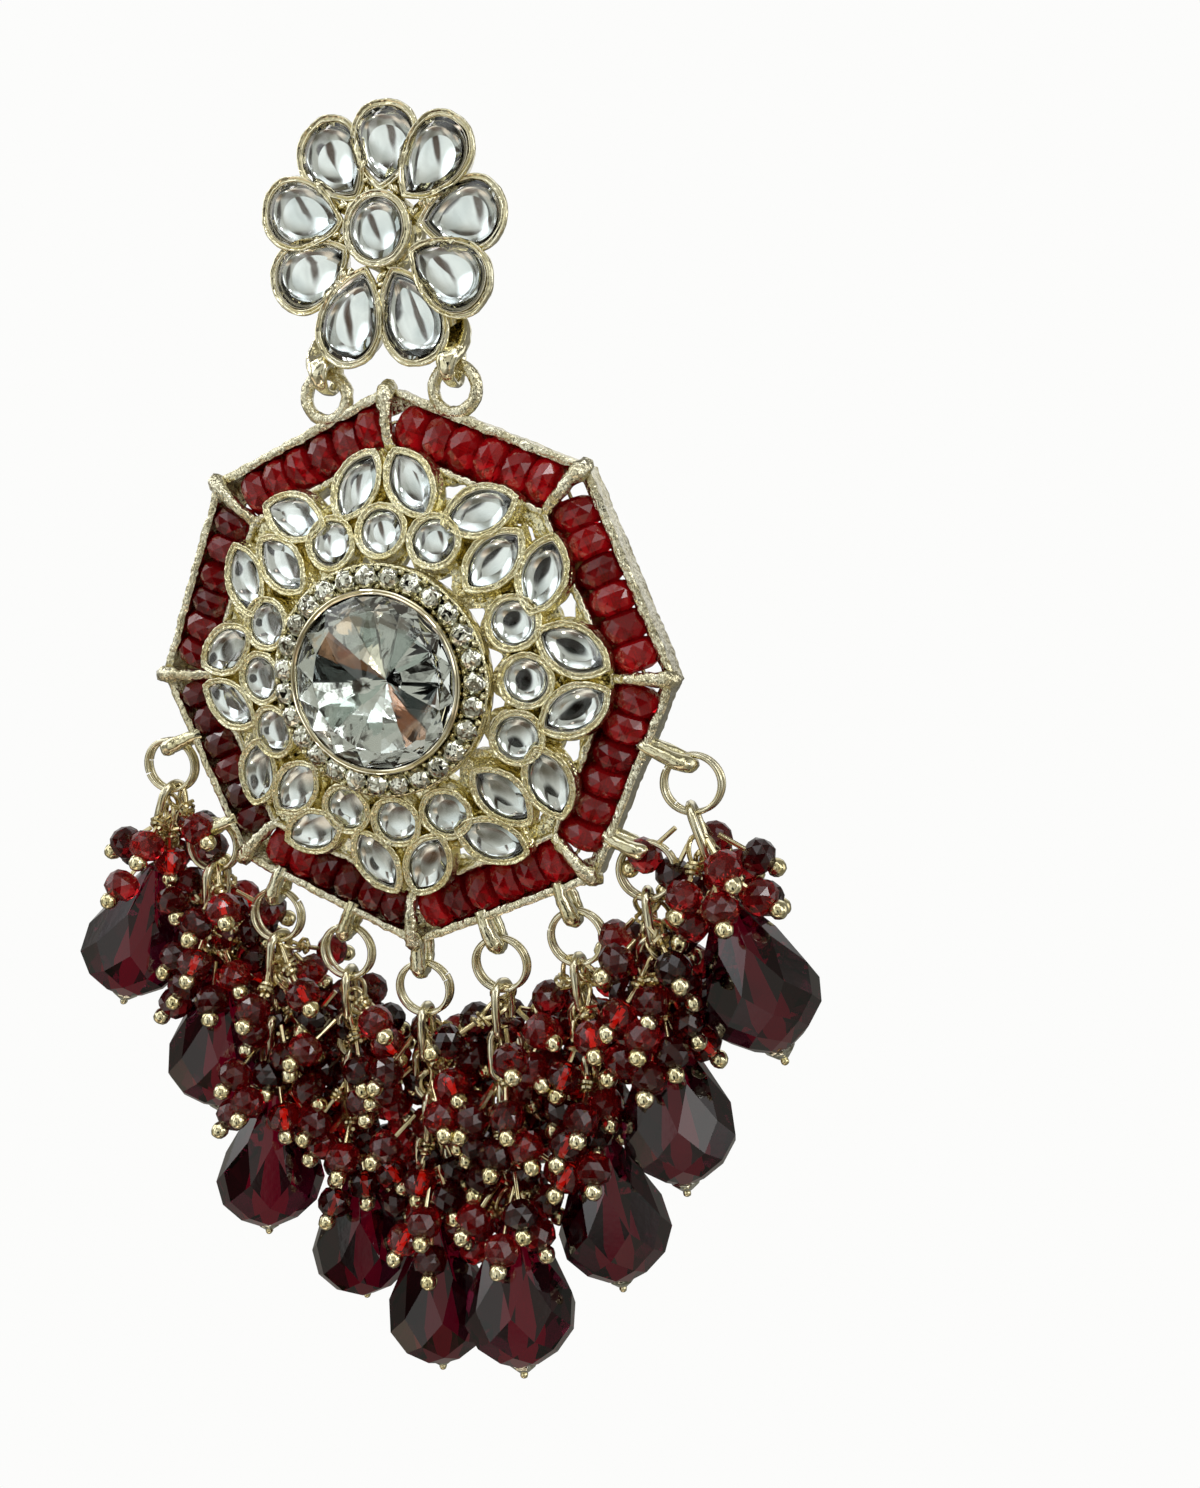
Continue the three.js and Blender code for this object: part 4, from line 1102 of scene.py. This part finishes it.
def rondelleShape(radius, half, full):     # full makes it more of a barrel
    return cutStone([(radius * (0.42 + full), half, 0), (radius * (0.82 + full / 2), half * 0.74, 0.5),
                     (radius, half * 0.25, 0), (radius, -half * 0.25, 0.5),
                     (radius * (0.82 + full / 2), -half * 0.74, 0), (radius * (0.42 + full), -half, 0.5)],
                    rondelle["sides"], merge=3.0)


def makeBeadRows():
    # the rows' colours are painted shade: darkest on the left side, lightest at the top
    row = {"beads": 6, "pitch": 2.4, "at": 19.15, "y": 1.35, "lean": 0.12, "wire": 0.16, "wireEnd": 0.7,
           "paintedLightTones": (0.5, 0.75, 0.6, 0.35, 0.12, 0.4, 0.5, 0.45)}
    bead = makeMould(rondelleShape(rondelle["radius"], rondelle["half"], 0.05))
    for i in range(8):
        piece = newPiece()
        angle = (i + 0.5) * math.pi / 4
        place = pendantPlace @ onAxis(angle, Matrix.Translation((row["at"], row["y"], 0)))
        for j in range(row["beads"]):
            z = (j + 0.5 - row["beads"] / 2) * row["pitch"]
            tip = (Matrix.Rotation(chance.uniform(-row["lean"], row["lean"]), 4, "X")
                   @ Matrix.Rotation(chance.uniform(-row["lean"], row["lean"]), 4, "Y")
                   @ Matrix.Rotation(chance.uniform(0, 6), 4, "Z"))
            shade = row["paintedLightTones"][i] + chance.uniform(-0.25, 0.25)     # painted shade: each row's tone, darker on the left and lighter at the top, with a random spread
            stamp(piece, bead, place @ Matrix.Translation((0, 0, z)) @ tip, shade)
        half = row["beads"] * row["pitch"] / 2 + row["wireEnd"]
        wire = tube([Vector((0, 0, -half + 2 * half * k / 12)) for k in range(13)], row["wire"], sides=6)
        addShape(piece, wire, place, crease["bar"], 1)
        finishPiece(piece, f"beadRow{i + 1}", "pendant", [rondelleGlass, pinWire],
                    [f"bead_row_{i + 1}"])


makeBeadRows()
print("bead rows made")


# hanging strands

jumpRing = {"radius": 2.35, "wire": 0.23, "below": 1.55}
chainLink = {"radius": 1.3, "wire": 0.4, "stretch": 1.09}
eye = {"reach": 2.75, "half": 1.1, "y": 1.6}
strandRows = [
    # from the middle outwards: the rim corner and the share of the side from there, then what hangs from it
    {"corner": 6, "along": 0.0, "links": 4, "beads": 34, "behind": 15,
     "lean": 0.0, "stagger": 0.0, "tail": 3.9},
    {"corner": 6, "along": 0.38, "links": 4, "beads": 34, "behind": 15,
     "lean": 3.5, "stagger": 3.0, "tail": 3.5},
    {"corner": 6, "along": 0.8, "links": 3, "beads": 27, "behind": 11,
     "lean": 6.5, "stagger": 0.0, "tail": 2.8},
    {"corner": 7, "along": 0.2, "links": 2, "beads": 20, "behind": 7,
     "lean": 7.0, "stagger": 0.6, "tail": 2.8},
    {"corner": 7, "along": 0.66, "links": 1, "beads": 11, "behind": 3,
     "lean": 20.0, "stagger": 0.0, "tail": 2.8, "reach": 3.5},
]
staggerOver = 30     # hanging length that a stagger is reached over
handSet = {1: {"tail": 3.6}, 2: {"tail": 1.5, "lean": 4.0}}     # two strands made up longer or shorter
dropShape = {"radius": 5.0, "sides": 8, "above": [1, 0.924, 0.62, 0.12], "aboveStep": 0.398,
             "below": [1, 0.924, 0.719, 0.454, 0.18], "belowStep": 0.27}
linkTop = jumpRing["wire"] + chainLink["wire"] + 0.02
linkHalf = chainLink["radius"] + chainLink["stretch"]
linkPitch = 2 * linkHalf - 2 * chainLink["wire"]


def strandList():
    strands = []
    for i in range(-4, 5):
        strand = dict(strandRows[abs(i)])
        strand.update(handSet.get(i + 5, {}))
        side = -1 if i < 0 else 1
        strand.update(number=i + 5, side=side)
        root, outward = eyeRoot(strand)
        bar = root + Vector((math.cos(outward), 0, math.sin(outward))) * strand.get("reach", eye["reach"])
        ring = pendantAt + bar + Vector((0, eye["y"], -jumpRing["below"]))
        forward = -math.asin(strand["stagger"] * side / staggerOver)
        hang = (Matrix.Translation(ring - Vector((0, 0, jumpRing["radius"])))
                @ Matrix.Rotation(forward, 4, "X")
                @ Matrix.Rotation(-math.radians(strand["lean"]) * side, 4, "Y"))
        strand.update(ring=ring, hang=hang)
        strand["lowLink"] = linkTop - 2 * linkHalf - (strand["links"] - 1) * linkPitch
        strand["dropTop"] = strand["lowLink"] - strand["tail"]
        strands.append(strand)
    return strands


def makeDropEyes(strands):
    # cast eyes under the rim, folded from front to back so that the rings hang flat to the front
    piece = newPiece()
    half = eye["half"]
    for strand in strands:
        root, outward = eyeRoot(strand)
        end = strand.get("reach", eye["reach"])
        turns = [-math.pi / 2 + math.pi * step / 8 for step in range(1, 8)]
        bend = [(end - half + half * math.cos(a), half * math.sin(a)) for a in turns]
        flat = [(-0.7, -half * 0.7), (0.3, -half * 1.05), (end - half, -half), *bend,
                (end - half, half), (0.3, half), (-0.7, half * 0.7)]
        path = [Vector((x, y, 0)) for x, y in flat]
        radii = [0.7, 0.56, 0.68, 0.72, 0.72, 0.66, 0.56] + [0.5] * 6
        points, widths = rounded(path, radii, 3)
        bar = tube(points, widths, sides=12, flatWay=Vector((0, 0, 1)))
        rough(bar, 0.13, 0.5, seed=strand["number"] * 1.3)
        place = Matrix.Translation((root.x, eye["y"], root.z)) @ onAxis(outward, asMade)
        addShape(piece, bar, pendantPlace @ place, crease["bar"])
    finishPiece(piece, "dropEyes", "pendant", [eyeMetal])


def eyeRoot(strand):
    start = strand["corner"] * math.pi / 4
    a = Vector((math.cos(start), 0, math.sin(start))) * octagon["outer"]
    b = Vector((math.cos(start + math.pi / 4), 0, math.sin(start + math.pi / 4))) * octagon["outer"]
    root = a.lerp(b, strand["along"])
    outward = start if strand["along"] == 0 else start + math.pi / 8
    if strand["side"] < 0:
        root.x = -root.x
        outward = math.pi - outward
    return root, outward


def makeJumpRings(strands):
    # each ring is two close turns of thin wire, its cut ends a little apart
    steps, sweep = 40, math.radians(357)
    for strand in strands:
        piece = newPiece()
        for layer in (-1, 1):
            start = chance.uniform(0, 2 * math.pi)
            shares = [i / steps for i in range(steps + 1)]
            path = [ringPoint(jumpRing["radius"], start + sweep * share, layer * 0.25 + 0.05 * (share - 0.5))
                    for share in shares]
            skew = (Matrix.Rotation(layer * chance.uniform(0.0, 0.09), 4, "X")
                    @ Matrix.Rotation(layer * chance.uniform(-0.09, 0.09), 4, "Z"))
            place = Matrix.Translation(strand["ring"] + Vector((layer * 0.08, 0, 0))) @ skew
            addShape(piece, tube(path, jumpRing["wire"], sides=8), place, crease["bar"])
        number = strand["number"]
        finishPiece(piece, f"jumpRing{number}", "pendant", [ringWire], [f"jump_ring_{number}"])


def linkPath():
    path = []
    for a in anglesRound(24):
        point = ringPoint(chainLink["radius"], a)
        if abs(point.z) > 0.001:     # the ring is pulled out to an oval above and below its middle
            point.z += math.copysign(chainLink["stretch"], point.z)
        path.append(point)
    return path


def pinchedLoop(a):     # half width of a wire loop that narrows to a point at its far end
    return math.sin(a) * (0.45 + 0.55 * math.cos(a / 2) ** 2)


pin = {"loop": 2.6, "width": 1.3, "wire": 0.22, "hole": 0.2, "bead": 1.52, "beadHalf": 1.22, "ball": 0.8}
pin["beadAt"] = pin["loop"] + 0.5 + pin["beadHalf"]


def headPin(wraps, extra):
    # along local +Z: teardrop loop round the link, loose wraps with the wire's cut end, then the stem
    path = []
    for a in anglesRound(16, 0.5):
        height = 0.5 * pin["loop"] * (1 - math.cos(a)) - 0.4
        path.append(Vector((pin["width"] * pinchedLoop(a), 0.14 * math.sin(a), height)))
    loop = tube(path, pin["wire"], sides=6, closed=True)
    steps = int(wraps * 8)
    coil = []
    for i in range(steps + 1):
        a = 2 * math.pi * wraps * i / steps
        width = 0.44 + 0.28 * math.sin(math.pi * i / steps) ** 2
        coil.append(Vector((width * math.cos(a), width * math.sin(a), pin["loop"] - 0.55 + 1.0 * i / steps)))
    coil.insert(0, coil[0] + Vector((0.35, -0.5, -0.1)))
    wrap = tube(coil, pin["wire"] * 0.85, sides=5)
    low = pin["beadAt"] + pin["beadHalf"] + extra
    end = pin["beadAt"] - pin["beadHalf"] + 0.2 + extra
    stem = tube([Vector((0, 0, pin["loop"] - 0.6)), Vector((0, 0, end))], pin["wire"], sides=6)
    # a rod in the bead's hole that glows: painted light standing in for light gathered in the glass
    hole = tube([Vector((0, 0, low - 1.7)), Vector((0, 0, low - 0.5))], pin["hole"], sides=6)
    return loop, wrap, stem, hole


def pinMoulds():
    # pins of nine lengths and wraps: once with their loop, once for where the loop is out of sight
    looped, bare = [], []
    for number, (wraps, extra) in enumerate((w, e) for w in (1.6, 2.2, 2.8) for e in (0.0, 0.6, 1.3)):
        loop, wrap, stem, hole = headPin(wraps, extra)
        stem = makeMould(smoothed(stem, crease["bar"]), 2)
        wires = newPiece()
        for part in (loop, wrap):
            addShape(wires, part, asMade, crease["bar"], 2)
        stamp(wires, stem, asMade)
        if number % 4 == 1:     # only here and there is a glowing rod put in the drilled hole, a painted glow
            addShape(wires, hole, asMade, crease["bar"], 4)
        looped.append((makeMould(wires), extra))
        bare.append((stem, extra))
    return looped, bare


cluster = {
    "tries": 5200, "tightAfter": 2400,     # where room runs short the beads may crowd a little more
    "apart": 2.65, "apartTight": 2.3, "ownChain": 2.1, "otherChain": 1.5, "clearOfChain": 0.93, "bare": 0.35,
}


def makeClusters(strands):
    link = makeMould(smoothed(tube(linkPath(), chainLink["wire"], sides=8, closed=True), crease["bar"]), 1)
    looped, bare = pinMoulds()
    bead = makeMould(rondelleShape(pin["bead"], pin["beadHalf"], 0.04))
    tip = ball(pin["ball"], 7, 10)
    rough(tip, 0.06, 0.5)
    tip = makeMould(smoothed(tip), 3)
    taken = []
    drops = [strand["hang"] @ Matrix.Translation((0, 0, strand["dropTop"])) for strand in strands]
    for strand in strands:
        piece = newPiece()
        for i in range(strand["links"]):
            middle = linkTop - linkHalf - i * linkPitch
            turn = (math.pi / 2 if i % 2 == 0 else 0.0) + chance.uniform(-0.2, 0.2)
            place = Matrix.Translation((0, 0, middle)) @ Matrix.Rotation(turn, 4, "Z")
            stamp(piece, link, strand["hang"] @ place)
        top, low = 0.3, strand["dropTop"] + 0.8
        placed = 0
        for attempt in range(cluster["tries"]):
            if placed >= strand["beads"] + strand["behind"]:
                break
            behind = placed >= strand["beads"]     # the last few fill in at the back
            share = (placed + chance.random()) / strand["beads"] if not behind else chance.random()
            at = top + (low - top) * share
            around = chance.uniform(0.15, math.pi - 0.15) if behind else chance.uniform(0, 2 * math.pi)
            steep = placed < 0.25 * strand["beads"]     # the first few stand out beside the ring
            droop = math.radians(chance.uniform(18, 52) if steep else chance.uniform(38, 84))
            flat = math.cos(droop)
            out = Vector((math.cos(around) * flat, math.sin(around) * flat, -math.sin(droop)))
            start = strand["hang"] @ Vector((0, 0, at))
            aim = (strand["hang"].to_3x3() @ out).normalized()
            hidden = behind or chance.random() < cluster["bare"]     # a pin whose loop is out of sight
            wires, extra = chance.choice(bare if hidden else looped)
            middle = start + aim * (pin["beadAt"] + extra)
            if chance.random() < cluster["clearOfChain"] and hidesAnyChain(middle, strand, strands):
                continue     # the chains stay in sight
            apart = cluster["apart"] if attempt < cluster["tightAfter"] else cluster["apartTight"]
            if not roomFor(middle, taken, drops, apart):
                continue
            taken.append(middle)
            placed += 1
            turn = aim.to_track_quat("Z", "Y").to_matrix().to_4x4()
            spin = Matrix.Rotation(chance.uniform(0, 6.28), 4, "Z")
            place = Matrix.Translation(start) @ turn @ spin
            stamp(piece, wires, place)
            place = place @ Matrix.Translation((0, 0, pin["beadAt"] + extra))
            # beads at the back get darker glass: painted shade
            stamp(piece, bead, place, 0.4 * chance.random() if behind else chance.random())
            stamp(piece, tip, place @ Matrix.Translation((0, 0, pin["beadHalf"] + 0.5)))
        strand["placed"] = placed
        makeDropHanger(piece, strand)
        number = strand["number"]
        finishPiece(piece, f"beadCluster{number}", "pendant",
                    [smallBeadGlass, ringWire, pinWire, pinBall, beadHoleGlow], [f"bead_cluster_{number}"])
    print("beads placed", [strand["placed"] for strand in strands])


def hidesAnyChain(middle, own, strands):
    widths = [cluster["ownChain"] if strand is own else cluster["otherChain"] for strand in strands]
    return any(hidesChain(middle, strand, width) for strand, width in zip(strands, widths))


def hidesChain(middle, strand, width):
    beside = strand["hang"].inverted() @ middle
    return beside.y < 0.4 and abs(beside.x) < width and strand["lowLink"] + 0.5 < beside.z < 0


def dropRadiusAt(depth):     # rough radius of a drop this far below its top
    share = depth / dropShape["radius"]
    if share < -0.1 or share > 2.9:
        return 0.0
    above = 0.15 + 0.85 * min(1.0, max(0.0, share) / 1.4)
    below = math.sqrt(max(0.05, 1 - max(0.0, share - 1.8) ** 2))
    return dropShape["radius"] * above * below


def roomFor(middle, taken, drops, apart):
    if any((middle - other).length < apart for other in taken):
        return False
    for drop in drops:
        local = drop.inverted() @ middle
        reach = dropRadiusAt(-local.z)
        if reach and math.hypot(local.x, local.y) < reach + 1.2:
            return False
    return True


def makeDropHanger(piece, strand):
    # a wire loop through the last link, wrapped below and run down into the drop
    wire = {"loop": 0.2, "coil": 0.18, "width": 0.78 * 1.3, "half": 1.1}
    top = strand["lowLink"] + chainLink["wire"] * 2
    low = top - 2 * wire["half"]
    loop = [Vector((wire["width"] * pinchedLoop(a), 0, top - wire["half"] * (1 - math.cos(a))))
            for a in anglesRound(16, 0.5)]
    addShape(piece, tube(loop, wire["loop"], sides=6, closed=True), strand["hang"], crease["bar"], 2)
    stem = [Vector((0, 0, z)) for z in (low, (low + strand["dropTop"]) / 2, strand["dropTop"] - 0.6)]
    addShape(piece, tube(stem, wire["loop"], sides=6), strand["hang"], crease["bar"], 2)
    place = strand["hang"] @ Matrix.Translation((0, 0, low + 0.3))
    addShape(piece, tube(turnsAbout(0.42, 2.6, 0.4, 26), wire["coil"], sides=5), place, crease["bar"], 2)


def makeDrops(strands):
    # faceted briolettes: long kites above, a diamond band at the widest part, rows of small kites below
    r, sides = dropShape["radius"], dropShape["sides"]
    above, below = dropShape["above"], dropShape["below"]
    upper = list(zip(above, kiteDepths(above, sides, dropShape["aboveStep"])))
    lower = list(zip(below, kiteDepths(below, sides, dropShape["belowStep"])))
    waist = upper[-1][1] * r     # depth of the widest part below the drop's top
    h = waist + lower[-1][1] * r
    levels = [(r * share, r * depth - waist, 0.5 * (k % 2)) for k, (share, depth) in enumerate(upper)]
    levels += [(r * share, -r * depth - waist, 0.5 * (k % 2)) for k, (share, depth) in enumerate(lower) if k]
    body = makeMould(cutStone(levels, sides, merge=3.0))
    capRows = [(0.2, -h - 0.9), (0.5, -h - 0.75), (1.2, -h - 0.1), (1.35, -h + 0.22), (1.1, -h + 0.5)]
    cap = makeMould(turnedBody(capRows, 8), 3)
    tip = ball(0.36, 7, 10)
    rough(tip, 0.04, 0.4)
    tip = makeMould(smoothed(tip), 1)
    # a core along the drilled hole that glows: painted light standing in for light gathered in the garnet
    glowCoreRows = [(0.4, -h + 0.8), (0.95, -h * 0.76), (0.6, -h * 0.5), (0.24, -0.8)]
    glowCore = makeMould(smoothed(turnedBody(glowCoreRows, 8), crease["bar"]), 2)
    tipPlace = Matrix.Translation((0, 0, -h - 1.05))
    for strand in strands:
        piece = newPiece()
        place = strand["hang"] @ Matrix.Translation((0, 0, strand["dropTop"]))
        place = place @ Matrix.Rotation(chance.uniform(0, 6.28), 4, "Z")
        tone = chance.uniform(0.2, 0.8)
        for mould, at in ((body, asMade), (cap, asMade), (tip, tipPlace), (glowCore, asMade)):
            stamp(piece, mould, place @ at, tone)
        number = strand["number"]
        finishPiece(piece, f"dropBead{number}", "pendant",
                    [garnetGlass, pinBall, garnetGlowCore, smokyChaton], [f"drop_bead_{number}"])


strands = strandList()
makeDropEyes(strands)
makeJumpRings(strands)
makeClusters(strands)
makeDrops(strands)
print("strands hung")
